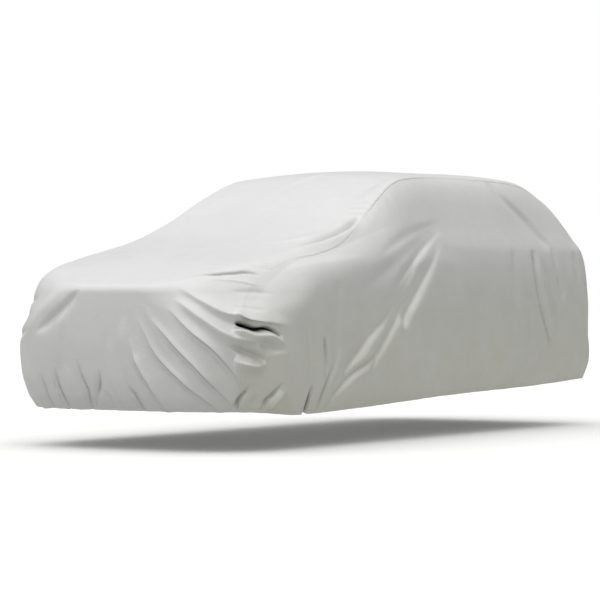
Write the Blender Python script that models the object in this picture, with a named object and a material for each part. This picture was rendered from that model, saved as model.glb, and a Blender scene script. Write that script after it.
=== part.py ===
"""A fitted cover of light coated cloth, in the shape in which it hangs in use.

It is sewn from three panels. The centre panel runs from the front hem up the nose, over the front
deck, the slope and the top, and down the tail to the rear hem. A side panel closes each side.
The seams run up the nose corners, along the edges of the deck, the slope and the top, and down the
tail corners. Each hem is turned cloth of its own panel.

Metres, +Z up, the nose towards -Y. Every place in the tables is (across, along, up): across from the
middle towards the side with the deep corner folds, along from the nose, and up from the floor.
The origin is the point under the top by which the cover is held up.
"""

import bmesh
import bpy
import numpy as np

CLOTH_THICKNESS = 0.003
SEAM_GAP = 0.0003
RIM_ANGLE = 0.9
HOLD_ALONG = 3.000
HOLD_UP = 1.704

# The lengthwise ridge line of the cover, over its middle.
RIDGE_COLUMNS = ("along", "up", "crown", "softness")
RIDGE = (
    (-0.30, 0.860, 0.020, 0.04),
    (0.00, 0.945, 0.020, 0.04),
    (0.20, 1.015, 0.025, 0.05),
    (0.50, 1.110, 0.025, 0.08),
    (0.90, 1.195, 0.030, 0.08),
    (1.25, 1.275, 0.035, 0.06),
    (1.60, 1.395, 0.035, 0.04),
    (1.95, 1.560, 0.035, 0.03),
    (2.25, 1.670, 0.045, 0.03),
    (2.60, 1.702, 0.068, 0.03),
    (3.10, 1.708, 0.075, 0.04),
    (3.60, 1.714, 0.075, 0.05),
    (4.00, 1.685, 0.075, 0.08),
    (4.30, 1.630, 0.070, 0.12),
    (4.80, 1.510, 0.070, 0.12),
)
CROWN_HALF_WIDTH = 0.70
CROWN_POWER = 2.2
SIDE_SOFTNESS = 0.16
SIDE_SOFTNESS_HALF_WIDTH = 0.80

# Level slices through the walls: half width, the ends of the nose and the tail, and corner radii.
SLICE_COLUMNS = ("up", "half_width", "nose", "tail", "nose_radius", "tail_radius")
SLICES = (
    (0.15, 0.840, 0.180, 4.280, 0.46, 0.36),
    (0.24, 0.880, 0.110, 4.390, 0.46, 0.36),
    (0.32, 0.905, 0.060, 4.460, 0.46, 0.36),
    (0.45, 0.925, 0.030, 4.510, 0.45, 0.36),
    (0.65, 0.935, 0.015, 4.520, 0.47, 0.36),
    (0.80, 0.935, 0.018, 4.520, 0.58, 0.36),
    (0.92, 0.928, 0.025, 4.520, 0.72, 0.36),
    (1.08, 0.905, 0.040, 4.510, 0.82, 0.36),
    (1.25, 0.840, 0.050, 4.450, 0.82, 0.36),
    (1.45, 0.750, 0.050, 4.320, 0.82, 0.35),
    (1.65, 0.655, 0.050, 4.120, 0.82, 0.33),
    (1.85, 0.560, 0.050, 3.880, 0.82, 0.30),
)
NOSE_BOW = 0.07
NOSE_BOW_HALF_WIDTH = 0.90
NOSE_BOW_END = 2.00
NOSE_BOW_LENGTH = 1.50
MIDDLE_ALONG = 2.30

# The lower edge, which rises towards the tail.
HEM_COLUMNS = ("along", "up")
HEM = (
    (0.00, 0.238),
    (0.30, 0.230),
    (0.70, 0.205),
    (1.20, 0.215),
    (1.80, 0.238),
    (2.30, 0.260),
    (2.90, 0.275),
    (3.50, 0.290),
    (3.90, 0.305),
    (4.50, 0.335),
)

# The seam in three runs, (across, along, up): nose corner upwards, top edge, tail corner downwards.
NOSE_SEAM = (
    (0.72, 0.28, 0.23),
    (0.76, 0.23, 0.33),
    (0.79, 0.20, 0.50),
    (0.79, 0.21, 0.65),
    (0.78, 0.24, 0.77),
    (0.76, 0.31, 0.88),
    (0.77, 0.46, 1.00),
)
TOP_SEAM = (
    (0.77, 0.46, 1.00),
    (0.78, 0.73, 1.10),
    (0.80, 1.00, 1.14),
    (0.79, 1.25, 1.19),
    (0.76, 1.46, 1.27),
    (0.71, 1.69, 1.38),
    (0.67, 1.93, 1.50),
    (0.64, 2.14, 1.59),
    (0.62, 2.45, 1.64),
    (0.60, 2.90, 1.66),
    (0.61, 3.40, 1.65),
    (0.62, 3.80, 1.60),
    (0.64, 4.10, 1.50),
)
TAIL_SEAM = (
    (0.64, 4.10, 1.50),
    (0.66, 4.27, 1.33),
    (0.69, 4.39, 1.12),
    (0.71, 4.44, 0.88),
    (0.72, 4.44, 0.62),
    (0.71, 4.40, 0.45),
    (0.69, 4.32, 0.33),
)
SIDE_HEM = (
    (0.72, 0.28, 0.23),
    (0.84, 0.42, 0.22),
    (0.89, 0.70, 0.21),
    (0.92, 1.20, 0.21),
    (0.92, 2.20, 0.25),
    (0.92, 3.20, 0.28),
    (0.92, 3.80, 0.30),
    (0.86, 4.15, 0.32),
    (0.69, 4.32, 0.33),
)

# Main folds. Each runs from start past bend to end, rises by rise (falls where it is below zero),
# and is left wide on its left and right wide on its right, seen from outside. It fades in and out
# over those shares of its length.
FOLD_COLUMNS = ("start", "bend", "end", "rise", "left", "right", "fade_in", "fade_out")
NOSE_FOLDS = (
    ((0.18, 0.02, 0.68), (0.27, 0.03, 0.47), (0.36, 0.10, 0.26), 0.027, 0.060, 0.035, 0.4, 0.0),
    ((0.31, 0.03, 0.60), (0.48, 0.05, 0.43), (0.64, 0.15, 0.28), 0.027, 0.060, 0.035, 0.4, 0.0),
    ((0.40, 0.03, 0.70), (0.56, 0.06, 0.51), (0.71, 0.18, 0.31), 0.032, 0.060, 0.035, 0.4, 0.2),
    ((0.49, 0.05, 0.78), (0.67, 0.10, 0.59), (0.78, 0.20, 0.43), 0.038, 0.060, 0.035, 0.3, 0.2),
    ((0.56, 0.09, 0.84), (0.70, 0.13, 0.69), (0.82, 0.23, 0.62), 0.041, 0.060, 0.040, 0.3, 0.2),
    ((0.53, 0.11, 0.88), (0.73, 0.19, 0.79), (0.92, 0.48, 0.74), 0.046, 0.060, 0.040, 0.3, 0.2),
    ((0.02, 0.02, 0.68), (0.03, 0.03, 0.48), (0.06, 0.10, 0.25), 0.019, 0.060, 0.040, 0.4, 0.0),
    ((-0.27, 0.05, 0.92), (-0.38, 0.03, 0.82), (-0.52, 0.04, 0.66), -0.026, 0.045, 0.045, 0.3, 0.3),
    ((-0.50, 0.08, 0.93), (-0.60, 0.12, 0.83), (-0.68, 0.18, 0.72), 0.020, 0.080, 0.080, 0.4, 0.4),
    ((-0.40, 0.05, 0.46), (-0.39, 0.07, 0.36), (-0.36, 0.11, 0.25), -0.019, 0.045, 0.045, 0.5, 0.0),
    ((-0.23, 0.04, 0.48), (-0.20, 0.06, 0.35), (-0.15, 0.10, 0.24), -0.019, 0.045, 0.045, 0.5, 0.0),
    ((-0.07, 0.03, 0.48), (-0.10, 0.05, 0.36), (-0.14, 0.09, 0.25), -0.019, 0.045, 0.045, 0.5, 0.0),
    ((-0.66, 0.16, 0.60), (-0.62, 0.16, 0.42), (-0.56, 0.20, 0.25), 0.022, 0.070, 0.070, 0.4, 0.0),
)
CORNER_FOLDS = (
    ((0.76, 0.21, 0.76), (0.84, 0.29, 0.715), (0.92, 0.45, 0.68), -0.068, 0.035, 0.040, 0.2, 0.3),
    ((0.80, 0.23, 0.69), (0.86, 0.31, 0.66), (0.92, 0.43, 0.65), 0.032, 0.035, 0.040, 0.3, 0.4),
    ((0.78, 0.20, 0.61), (0.84, 0.26, 0.58), (0.89, 0.35, 0.55), -0.041, 0.045, 0.045, 0.3, 0.4),
    ((0.78, 0.19, 0.51), (0.84, 0.26, 0.51), (0.90, 0.37, 0.53), 0.049, 0.045, 0.060, 0.3, 0.4),
    ((0.79, 0.21, 0.44), (0.76, 0.23, 0.33), (0.72, 0.28, 0.23), -0.024, 0.040, 0.040, 0.5, 0.0),
    ((0.88, 0.41, 0.37), (0.84, 0.39, 0.29), (0.79, 0.37, 0.23), -0.024, 0.045, 0.045, 0.5, 0.0),
    ((0.46, 0.23, 1.02), (0.66, 0.36, 1.035), (0.82, 0.52, 1.00), -0.022, 0.045, 0.045, 0.4, 0.4),
    ((0.68, 0.86, 1.16), (0.78, 1.18, 1.19), (0.74, 1.50, 1.30), 0.028, 0.045, 0.045, 0.4, 0.3),
    ((0.70, 0.92, 1.18), (0.72, 1.27, 1.24), (0.72, 1.62, 1.36), -0.036, 0.060, 0.045, 0.4, 0.2),
)
LEFT_FOLDS = (
    ((0.80, 2.38, 1.34), (0.84, 1.98, 1.26), (0.87, 1.66, 1.17), -0.019, 0.060, 0.060, 0.4, 0.4),
    ((0.80, 2.38, 1.31), (0.88, 1.92, 1.14), (0.92, 1.41, 0.96), -0.032, 0.060, 0.060, 0.3, 0.4),
    ((0.84, 2.32, 1.23), (0.90, 2.02, 1.09), (0.93, 1.66, 0.88), -0.027, 0.050, 0.050, 0.3, 0.4),
    ((0.90, 2.26, 1.12), (0.93, 2.00, 0.91), (0.93, 1.78, 0.69), 0.046, 0.045, 0.050, 0.4, 0.2),
    ((0.93, 1.60, 0.75), (0.93, 1.33, 0.56), (0.92, 1.10, 0.38), 0.046, 0.045, 0.050, 0.3, 0.2),
    ((0.93, 1.80, 0.83), (0.93, 1.60, 0.61), (0.93, 1.44, 0.45), 0.027, 0.045, 0.045, 0.3, 0.3),
    ((0.93, 1.42, 0.50), (0.91, 1.18, 0.36), (0.88, 0.98, 0.23), 0.032, 0.045, 0.045, 0.3, 0.0),
    ((0.93, 0.79, 0.46), (0.90, 0.77, 0.32), (0.87, 0.77, 0.19), -0.046, 0.035, 0.035, 0.5, 0.0),
    ((0.93, 1.06, 0.98), (0.93, 1.00, 0.78), (0.93, 1.01, 0.56), -0.030, 0.080, 0.080, 0.4, 0.4),
    ((0.93, 1.11, 0.68), (0.92, 1.00, 0.44), (0.89, 0.92, 0.22), 0.030, 0.060, 0.060, 0.4, 0.0),
    ((0.62, 3.42, 1.64), (0.76, 3.60, 1.44), (0.87, 3.82, 1.16), -0.026, 0.045, 0.065, 0.2, 0.4),
    ((0.89, 3.53, 1.16), (0.93, 3.57, 0.88), (0.93, 3.65, 0.58), -0.035, 0.040, 0.045, 0.3, 0.5),
    ((0.90, 3.62, 1.12), (0.92, 3.70, 0.96), (0.93, 3.79, 0.78), -0.024, 0.045, 0.045, 0.3, 0.5),
    ((0.89, 3.21, 1.18), (0.93, 3.19, 0.95), (0.93, 3.26, 0.68), -0.019, 0.070, 0.070, 0.4, 0.5),
    ((0.86, 4.12, 1.18), (0.90, 4.17, 0.98), (0.90, 4.20, 0.76), -0.024, 0.060, 0.060, 0.3, 0.5),
    ((0.69, 4.08, 1.51), (0.83, 4.28, 1.22), (0.89, 4.32, 1.00), 0.026, 0.090, 0.090, 0.4, 0.4),
    ((0.90, 4.32, 0.60), (0.90, 4.32, 0.47), (0.88, 4.30, 0.34), 0.018, 0.080, 0.080, 0.4, 0.2),
)
RIGHT_FOLDS = (
    ((-0.64, 0.56, 1.11), (-0.71, 0.31, 0.98), (-0.77, 0.26, 0.84), 0.036, 0.120, 0.120, 0.4, 0.4),
    ((-0.74, 0.24, 0.89), (-0.90, 0.50, 0.86), (-0.94, 0.80, 0.84), -0.018, 0.045, 0.045, 0.3, 0.4),
    ((-0.76, 0.18, 0.67), (-0.90, 0.42, 0.64), (-0.94, 0.75, 0.62), -0.018, 0.045, 0.045, 0.3, 0.4),
    ((-0.93, 1.08, 0.86), (-0.92, 0.90, 0.55), (-0.88, 0.80, 0.22), 0.035, 0.060, 0.060, 0.3, 0.0),
    ((-0.80, 2.30, 1.34), (-0.89, 1.90, 1.12), (-0.93, 1.46, 0.88), -0.032, 0.065, 0.065, 0.3, 0.4),
    ((-0.88, 2.36, 1.16), (-0.93, 2.06, 0.86), (-0.92, 1.84, 0.58), 0.041, 0.055, 0.055, 0.3, 0.3),
    ((-0.93, 1.66, 0.70), (-0.92, 1.44, 0.48), (-0.88, 1.26, 0.24), 0.035, 0.055, 0.055, 0.3, 0.0),
    ((-0.62, 3.36, 1.64), (-0.80, 3.62, 1.34), (-0.93, 3.88, 0.96), -0.030, 0.065, 0.065, 0.2, 0.4),
    ((-0.89, 3.46, 1.16), (-0.93, 3.54, 0.86), (-0.93, 3.60, 0.52), -0.032, 0.050, 0.050, 0.3, 0.5),
    ((-0.93, 2.90, 1.02), (-0.93, 2.86, 0.70), (-0.92, 2.90, 0.40), -0.019, 0.080, 0.080, 0.4, 0.5),
)
TAIL_FOLDS = (
    ((0.66, 4.36, 1.08), (0.48, 4.49, 0.80), (0.38, 4.46, 0.34), -0.032, 0.060, 0.060, 0.3, 0.0),
    ((0.70, 4.42, 0.86), (0.62, 4.44, 0.60), (0.56, 4.38, 0.33), 0.030, 0.055, 0.055, 0.3, 0.0),
    ((-0.60, 4.38, 1.14), (-0.40, 4.49, 0.86), (-0.20, 4.48, 0.50), -0.030, 0.065, 0.065, 0.3, 0.4),
    ((-0.72, 4.40, 0.80), (-0.58, 4.46, 0.58), (-0.46, 4.42, 0.34), 0.032, 0.055, 0.055, 0.3, 0.0),
    ((0.30, 4.30, 1.40), (0.02, 4.36, 1.32), (-0.30, 4.32, 1.38), -0.022, 0.060, 0.060, 0.4, 0.4),
    ((0.10, 4.50, 0.76), (0.04, 4.49, 0.54), (-0.02, 4.44, 0.34), 0.019, 0.060, 0.060, 0.4, 0.0),
)
FOLDS = NOSE_FOLDS + CORNER_FOLDS + LEFT_FOLDS + RIGHT_FOLDS + TAIL_FOLDS
FOLD_PATH_POINTS = 25
FOLD_REACH = 2.6

# The point inside the cover from which each guide point is thrown out onto the walls and the top.
HEART_ALONG = (0.65, 4.00)
HEART_UP = 0.55
HEART_ACROSS_SHARE = 0.25
LONGEST_THROW = 2.2
HALVINGS = 30
PROBE = 0.002

# Faces along each run of the seam, and across the centre panel. Every seam run has a table of
# (share of the faces, share of the run), so that faces are smallest where the folds are.
NOSE_FACES = 20
TOP_FACES = 50
ACROSS_FACES = 22
NOSE_SPREAD = ((0.0, 0.0), (1.0, 1.0))
TOP_SPREAD = ((0.0, 0.0), (0.66, 0.47), (0.76, 0.68), (1.0, 1.0))
ACROSS_SPREAD = ((0.0, 0.0), (0.36, 0.50), (1.0, 1.0))

COVER_COLOUR = (0.58, 0.59, 0.58, 1.0)
COVER_ROUGHNESS = 0.55


def smooth_through(rows, column, at):
    """A smooth curve without overshoot through a table's rows, read at the values of its first column."""
    knots = np.array([row[0] for row in rows])
    values = np.array([row[column] for row in rows])
    steps = np.diff(knots)
    slopes = np.diff(values) / steps
    tangents = np.zeros(len(knots))
    before = 2 * steps[1:] + steps[:-1]
    after = steps[1:] + 2 * steps[:-1]
    same_way = slopes[1:] * slopes[:-1] > 0
    weights = before[same_way] / slopes[:-1][same_way] + after[same_way] / slopes[1:][same_way]
    tangents[1:-1][same_way] = (before + after)[same_way] / weights
    tangents[0] = slopes[0]
    tangents[-1] = slopes[-1]
    at = np.clip(at, knots[0], knots[-1])
    span = np.clip(np.searchsorted(knots, at, side="right") - 1, 0, len(steps) - 1)
    share = (at - knots[span]) / steps[span]
    start_weight = 2 * share**3 - 3 * share**2 + 1
    end_weight = 1 - start_weight
    start_pull = (share**3 - 2 * share**2 + share) * steps[span]
    end_pull = (share**3 - share**2) * steps[span]
    reached = start_weight * values[span] + end_weight * values[span + 1]
    return reached + start_pull * tangents[span] + end_pull * tangents[span + 1]


def top_height(across, along):
    """Height of the front deck, the slope and the top over a place."""
    ridge = smooth_through(RIDGE, RIDGE_COLUMNS.index("up"), along)
    crown = smooth_through(RIDGE, RIDGE_COLUMNS.index("crown"), along)
    return ridge - crown * (np.abs(across) / CROWN_HALF_WIDTH) ** CROWN_POWER


def wall_distance(across, along, up):
    """Distance outside a level slice with round corners and a bowed nose."""
    half, nose, tail, nose_radius, tail_radius = (
        smooth_through(SLICES, SLICE_COLUMNS.index(name), up) for name in SLICE_COLUMNS[1:]
    )
    bow = np.clip((NOSE_BOW_END - along) / NOSE_BOW_LENGTH, 0, 1)
    along = along - NOSE_BOW * bow * (across / NOSE_BOW_HALF_WIDTH) ** 2
    in_front = along < MIDDLE_ALONG
    radius = np.where(in_front, nose_radius, tail_radius)
    past_end = np.where(in_front, nose + radius - along, along - (tail - radius))
    past_side = np.abs(across) - (half - radius)
    outside = np.hypot(np.maximum(past_side, 0), np.maximum(past_end, 0))
    inside = np.minimum(np.maximum(past_side, past_end), 0)
    return outside + inside - radius


def outside_of_shape(points):
    """Roughly how far points lie outside the smooth cover, below zero inside."""
    across, along, up = points[..., 0], points[..., 1], points[..., 2]
    rise = top_height(across, along + PROBE) - top_height(across, along - PROBE)
    over_top = (up - top_height(across, along)) / np.hypot(1, rise / (2 * PROBE))
    past_wall = wall_distance(across, along, up)
    softness = smooth_through(RIDGE, RIDGE_COLUMNS.index("softness"), along)
    softness = softness + SIDE_SOFTNESS * np.minimum(np.abs(across) / SIDE_SOFTNESS_HALF_WIDTH, 1) ** 4
    overlap = np.maximum(softness - np.abs(over_top - past_wall), 0) / softness
    return np.maximum(over_top, past_wall) + softness * overlap**2 / 4


def outward(points):
    """Unit normals of the smooth cover."""
    slopes = []
    for axis in np.eye(3):
        slopes.append(outside_of_shape(points + PROBE * axis) - outside_of_shape(points - PROBE * axis))
    normals = np.stack(slopes, axis=-1)
    return normals / np.linalg.norm(normals, axis=-1, keepdims=True)


def throw_onto_shape(guides):
    """Move guide points straight out from the heart of the cover until they meet its surface."""
    hearts = np.empty_like(guides)
    hearts[..., 0] = HEART_ACROSS_SHARE * guides[..., 0]
    hearts[..., 1] = np.clip(guides[..., 1], *HEART_ALONG)
    hearts[..., 2] = np.minimum(guides[..., 2], HEART_UP)
    ways = guides - hearts
    ways = ways / np.linalg.norm(ways, axis=-1, keepdims=True)
    near = np.zeros(guides.shape[:-1])
    far = np.full(guides.shape[:-1], LONGEST_THROW)
    for _ in range(HALVINGS):
        middle = (near + far) / 2
        inside = outside_of_shape(hearts + ways * middle[..., None]) < 0
        near = np.where(inside, middle, near)
        far = np.where(inside, far, middle)
    return hearts + ways * far[..., None]


def ease(share):
    share = np.clip(share, 0, 1)
    return share * share * (3 - 2 * share)


def fold_path(fold):
    """Points along a fold, on the smooth cover, from its start through its bend to its end."""
    start, bend, end = (np.array(point) for point in fold[:3])
    share = np.linspace(0, 1, FOLD_PATH_POINTS)[:, None]
    near_start = (1 - share) * (1 - 2 * share)
    near_bend = 4 * share * (1 - share)
    near_end = share * (2 * share - 1)
    return throw_onto_shape(start * near_start + bend * near_bend + end * near_end)


def fold_lift(points, normals, fold):
    """How far one fold lifts each point of the smooth cover."""
    rise, left, right, fade_in, fade_out = fold[3:]
    path = fold_path(fold)
    lift = np.zeros(points.shape[:-1])
    reach = FOLD_REACH * max(left, right)
    near = np.all((points > path.min(axis=0) - reach) & (points < path.max(axis=0) + reach), axis=-1)
    if not near.any():
        return lift
    places = points[near]
    offsets = places[:, None, :] - path[None, :, :]
    nearest = np.argmin(np.linalg.norm(offsets, axis=-1), axis=1)
    travel = np.gradient(path, axis=0)
    travel = travel / np.linalg.norm(travel, axis=-1, keepdims=True)
    to_left = np.cross(normals[near], travel[nearest])
    offset = offsets[np.arange(len(places)), nearest]
    sideways = np.sum(offset * to_left, axis=-1)
    past_end = np.abs(np.sum(offset * travel[nearest], axis=-1))
    width = np.where(sideways > 0, left, right)
    share = nearest / (FOLD_PATH_POINTS - 1)
    fading = np.ones(len(places))
    if fade_in:
        fading = fading * ease(share / fade_in)
    if fade_out:
        fading = fading * ease((1 - share) / fade_out)
    lift[near] = rise * fading * np.exp(-((sideways / width) ** 2) - (past_end / max(left, right)) ** 2)
    return lift


def drape(guides):
    """Outer and inner points of the cloth for a grid of guide points."""
    base = throw_onto_shape(guides)
    normals = outward(base)
    lift = sum(fold_lift(base, normals, fold) for fold in FOLDS)
    outer = base + normals * lift[..., None]
    return outer, outer - normals * CLOTH_THICKNESS


def run_points(points, faces, spread):
    """Points along a run, spaced by its spread table."""
    points = np.array(points)
    lengths = np.concatenate(([0], np.cumsum(np.linalg.norm(np.diff(points, axis=0), axis=1))))
    wanted = smooth_through(spread, 1, np.linspace(0, 1, faces + 1)) * lengths[-1]
    table = np.column_stack((lengths, points))
    return np.stack([smooth_through(table, column, wanted) for column in (1, 2, 3)], axis=-1)


def mirrored(points):
    return points * np.array((-1, 1, 1))


def seam_runs():
    """The seam's guide points: nose corner and tail corner from the top downwards, and the top edge."""
    nose = run_points(NOSE_SEAM, NOSE_FACES, NOSE_SPREAD)[::-1]
    top = run_points(TOP_SEAM, TOP_FACES, TOP_SPREAD)
    tail = run_points(TAIL_SEAM, NOSE_FACES, NOSE_SPREAD)
    for run in (nose, tail):
        run[-1, 2] = smooth_through(HEM, 1, run[-1, 1])
    return nose, top, tail


def side_guides():
    """A grid for the side panel, rows from the seam down to the hem, columns from nose to tail."""
    nose, top, tail = seam_runs()
    hem = run_points(SIDE_HEM, TOP_FACES, TOP_SPREAD)
    hem[:, 2] = smooth_through(HEM, 1, hem[:, 1])
    hem[0] = nose[-1]
    hem[-1] = tail[-1]
    down = np.linspace(0, 1, NOSE_FACES + 1)[:, None, None]
    back = np.linspace(0, 1, TOP_FACES + 1)[None, :, None]
    between_edges = (1 - down) * top[None] + down * hem[None]
    between_ends = (1 - back) * nose[:, None] + back * tail[:, None]
    corners = (1 - down) * ((1 - back) * top[0] + back * top[-1])
    corners = corners + down * ((1 - back) * hem[0] + back * hem[-1])
    return between_edges + between_ends - corners


def centre_guides():
    """A grid for the centre panel, rows from the nose hem to the tail hem, columns from right to left."""
    nose, top, tail = seam_runs()
    left = np.concatenate((nose[::-1], top[1:], tail[1:]))
    right = mirrored(left)
    across = smooth_through(ACROSS_SPREAD, 1, np.linspace(0, 1, ACROSS_FACES + 1))[None, :, None]
    return (1 - across) * right[:, None] + across * left[:, None]


def draw_back_from_seam(outer, inner, row, next_row):
    """Move one edge of a panel back by half the gap that the seam keeps."""
    way = outer[next_row] - outer[row]
    way = way / np.linalg.norm(way, axis=-1, keepdims=True) * SEAM_GAP / 2
    outer[row] += way
    inner[row] += way


def shell_mesh(name, outer, inner):
    """A closed sheet between two grids of the same layout, with matching triangles on both sides."""
    rows, columns = outer.shape[:2]
    shell = bmesh.new()
    place = np.array((0, HOLD_ALONG, HOLD_UP))
    sides = []
    for grid in (outer, inner):
        sides.append([[shell.verts.new(point) for point in line] for line in grid - place])

    def add_quad(a, b, c, d):
        """Two triangles, parted along the shorter diagonal."""
        if (a.co - c.co).length <= (b.co - d.co).length:
            shell.faces.new((a, b, c))
            shell.faces.new((a, c, d))
        else:
            shell.faces.new((a, b, d))
            shell.faces.new((b, c, d))

    front, back = sides
    for row in range(rows - 1):
        for column in range(columns - 1):
            corners = ((row, column), (row, column + 1), (row + 1, column + 1), (row + 1, column))
            a, b, c, d = corners
            across_ac = np.linalg.norm(outer[a] - outer[c])
            across_bd = np.linalg.norm(outer[b] - outer[d])
            if across_ac > across_bd:
                a, b, c, d = b, c, d, a
            for triangle in ((a, b, c), (a, c, d)):
                shell.faces.new([front[i][j] for i, j in triangle])
                shell.faces.new([back[i][j] for i, j in reversed(triangle)])
    rim = [(0, column) for column in range(columns)]
    rim += [(row, columns - 1) for row in range(1, rows)]
    rim += [(rows - 1, column) for column in range(columns - 2, -1, -1)]
    rim += [(row, 0) for row in range(rows - 2, 0, -1)]
    for here, there in zip(rim, rim[1:] + rim[:1]):
        i, j = here
        k, m = there
        add_quad(front[k][m], front[i][j], back[i][j], back[k][m])
    bmesh.ops.recalc_face_normals(shell, faces=shell.faces)
    mesh = bpy.data.meshes.new(name)
    shell.to_mesh(mesh)
    shell.free()
    mesh.shade_smooth()
    mesh.set_sharp_from_angle(angle=RIM_ANGLE)
    return mesh


def cloth_material(name, colour):
    material = bpy.data.materials.new(name)
    material.use_nodes = True
    shader = material.node_tree.nodes["Principled BSDF"]
    shader.inputs["Base Color"].default_value = colour
    shader.inputs["Roughness"].default_value = COVER_ROUGHNESS
    shader.inputs["Metallic"].default_value = 0.0
    material.diffuse_color = colour
    return material


def add_panel(collection, name, outer, inner):
    mesh = shell_mesh(name, outer, inner)
    mesh.materials.append(cloth_material(name + "_cloth", COVER_COLOUR))
    collection.objects.link(bpy.data.objects.new(name, mesh))


def add_side_panel(collection, name, guides):
    outer, inner = drape(guides)
    draw_back_from_seam(outer, inner, (0,), (1,))
    draw_back_from_seam(outer, inner, (slice(None), 0), (slice(None), 1))
    draw_back_from_seam(outer, inner, (slice(None), -1), (slice(None), -2))
    add_panel(collection, name, outer, inner)


def add_centre_panel(collection, name, guides):
    outer, inner = drape(guides)
    draw_back_from_seam(outer, inner, (slice(None), 0), (slice(None), 1))
    draw_back_from_seam(outer, inner, (slice(None), -1), (slice(None), -2))
    add_panel(collection, name, outer, inner)


for old in list(bpy.data.objects):
    bpy.data.objects.remove(old)
cover = bpy.data.collections.new("car_cover")
bpy.context.scene.collection.children.link(cover)
add_centre_panel(cover, "centre_panel", centre_guides())
add_side_panel(cover, "left_side_panel", side_guides())
add_side_panel(cover, "right_side_panel", mirrored(side_guides()))
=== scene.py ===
import math

import bpy
import numpy as np
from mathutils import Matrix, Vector, noise


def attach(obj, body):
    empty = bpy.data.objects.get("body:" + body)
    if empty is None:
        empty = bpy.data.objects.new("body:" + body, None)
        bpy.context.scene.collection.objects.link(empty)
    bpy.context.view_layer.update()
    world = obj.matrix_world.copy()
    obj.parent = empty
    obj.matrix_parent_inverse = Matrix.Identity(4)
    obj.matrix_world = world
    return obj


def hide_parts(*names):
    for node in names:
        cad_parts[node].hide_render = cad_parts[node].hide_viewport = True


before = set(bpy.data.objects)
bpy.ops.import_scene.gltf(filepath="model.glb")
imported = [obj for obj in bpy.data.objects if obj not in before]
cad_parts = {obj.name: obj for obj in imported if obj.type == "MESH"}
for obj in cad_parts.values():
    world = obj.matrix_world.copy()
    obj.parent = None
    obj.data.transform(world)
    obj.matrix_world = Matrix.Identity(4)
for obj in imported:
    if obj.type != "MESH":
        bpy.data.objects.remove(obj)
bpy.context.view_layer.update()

# ---------------------------------------------------------------------------------------------
# Centre panel: one long length of light grey cloth, polyester woven fine and coated on the face.
# It runs up the nose, over the low front deck and the slope, along the top and down the tail.
# Its two long edges are sewn to the side panels, and both its ends are turned up into a hem.

HOLD_ALONG = 3.000
HOLD_UP = 1.704

# The lengthwise ridge line of the smooth drape, over its middle.
RIDGE_COLUMNS = ("along", "up", "crown", "softness")
RIDGE = (
    (-0.30, 0.860, 0.020, 0.04),
    (0.00, 0.945, 0.020, 0.04),
    (0.20, 1.015, 0.025, 0.05),
    (0.50, 1.110, 0.025, 0.08),
    (0.90, 1.195, 0.030, 0.08),
    (1.25, 1.275, 0.035, 0.06),
    (1.60, 1.395, 0.035, 0.04),
    (1.95, 1.560, 0.035, 0.03),
    (2.25, 1.670, 0.045, 0.03),
    (2.60, 1.702, 0.068, 0.03),
    (3.10, 1.708, 0.075, 0.04),
    (3.60, 1.714, 0.075, 0.05),
    (4.00, 1.685, 0.075, 0.08),
    (4.30, 1.630, 0.070, 0.12),
    (4.80, 1.510, 0.070, 0.12),
)
CROWN_HALF_WIDTH = 0.70
CROWN_POWER = 2.2
SIDE_SOFTNESS = 0.16
SIDE_SOFTNESS_HALF_WIDTH = 0.80
SIDE_SOFTNESS_POWER = 4

# Level slices through the walls: half width, the ends of the nose and the tail, and corner radii.
SLICE_COLUMNS = ("up", "half_width", "nose", "tail", "nose_radius", "tail_radius")
SLICES = (
    (0.15, 0.840, 0.180, 4.280, 0.46, 0.36),
    (0.24, 0.880, 0.110, 4.390, 0.46, 0.36),
    (0.32, 0.905, 0.060, 4.460, 0.46, 0.36),
    (0.45, 0.925, 0.030, 4.510, 0.45, 0.36),
    (0.65, 0.935, 0.015, 4.520, 0.47, 0.36),
    (0.80, 0.935, 0.018, 4.520, 0.58, 0.36),
    (0.92, 0.928, 0.025, 4.520, 0.72, 0.36),
    (1.08, 0.905, 0.040, 4.510, 0.82, 0.36),
    (1.25, 0.840, 0.050, 4.450, 0.82, 0.36),
    (1.45, 0.750, 0.050, 4.320, 0.82, 0.35),
    (1.65, 0.655, 0.050, 4.120, 0.82, 0.33),
    (1.85, 0.560, 0.050, 3.880, 0.82, 0.30),
)
NOSE_BOW = 0.07
NOSE_BOW_HALF_WIDTH = 0.90
NOSE_BOW_END = 2.00
NOSE_BOW_LENGTH = 1.50
MIDDLE_ALONG = 2.30

# The lower edge rises towards the tail: (along, up).
HEM = (
    (0.00, 0.238), (0.30, 0.230), (0.70, 0.205), (1.20, 0.215), (1.80, 0.238),
    (2.30, 0.260), (2.90, 0.275), (3.50, 0.290), (3.90, 0.305), (4.50, 0.335),
)

# The seam in three runs, (across, along, up): nose corner upwards, top edge, tail corner downwards.
NOSE_SEAM = (
    (0.72, 0.28, 0.23), (0.76, 0.23, 0.33), (0.79, 0.20, 0.50), (0.79, 0.21, 0.65),
    (0.78, 0.24, 0.77), (0.76, 0.31, 0.88), (0.77, 0.46, 1.00),
)
TOP_SEAM = (
    (0.77, 0.46, 1.00), (0.78, 0.73, 1.10), (0.80, 1.00, 1.14), (0.79, 1.25, 1.19),
    (0.76, 1.46, 1.27), (0.71, 1.69, 1.38), (0.67, 1.93, 1.50), (0.64, 2.14, 1.59),
    (0.62, 2.45, 1.64), (0.60, 2.90, 1.66), (0.61, 3.40, 1.65), (0.62, 3.80, 1.60),
    (0.64, 4.10, 1.50),
)
TAIL_SEAM = (
    (0.64, 4.10, 1.50), (0.66, 4.27, 1.33), (0.69, 4.39, 1.12), (0.71, 4.44, 0.88),
    (0.72, 4.44, 0.62), (0.71, 4.40, 0.45), (0.69, 4.32, 0.33),
)

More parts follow.
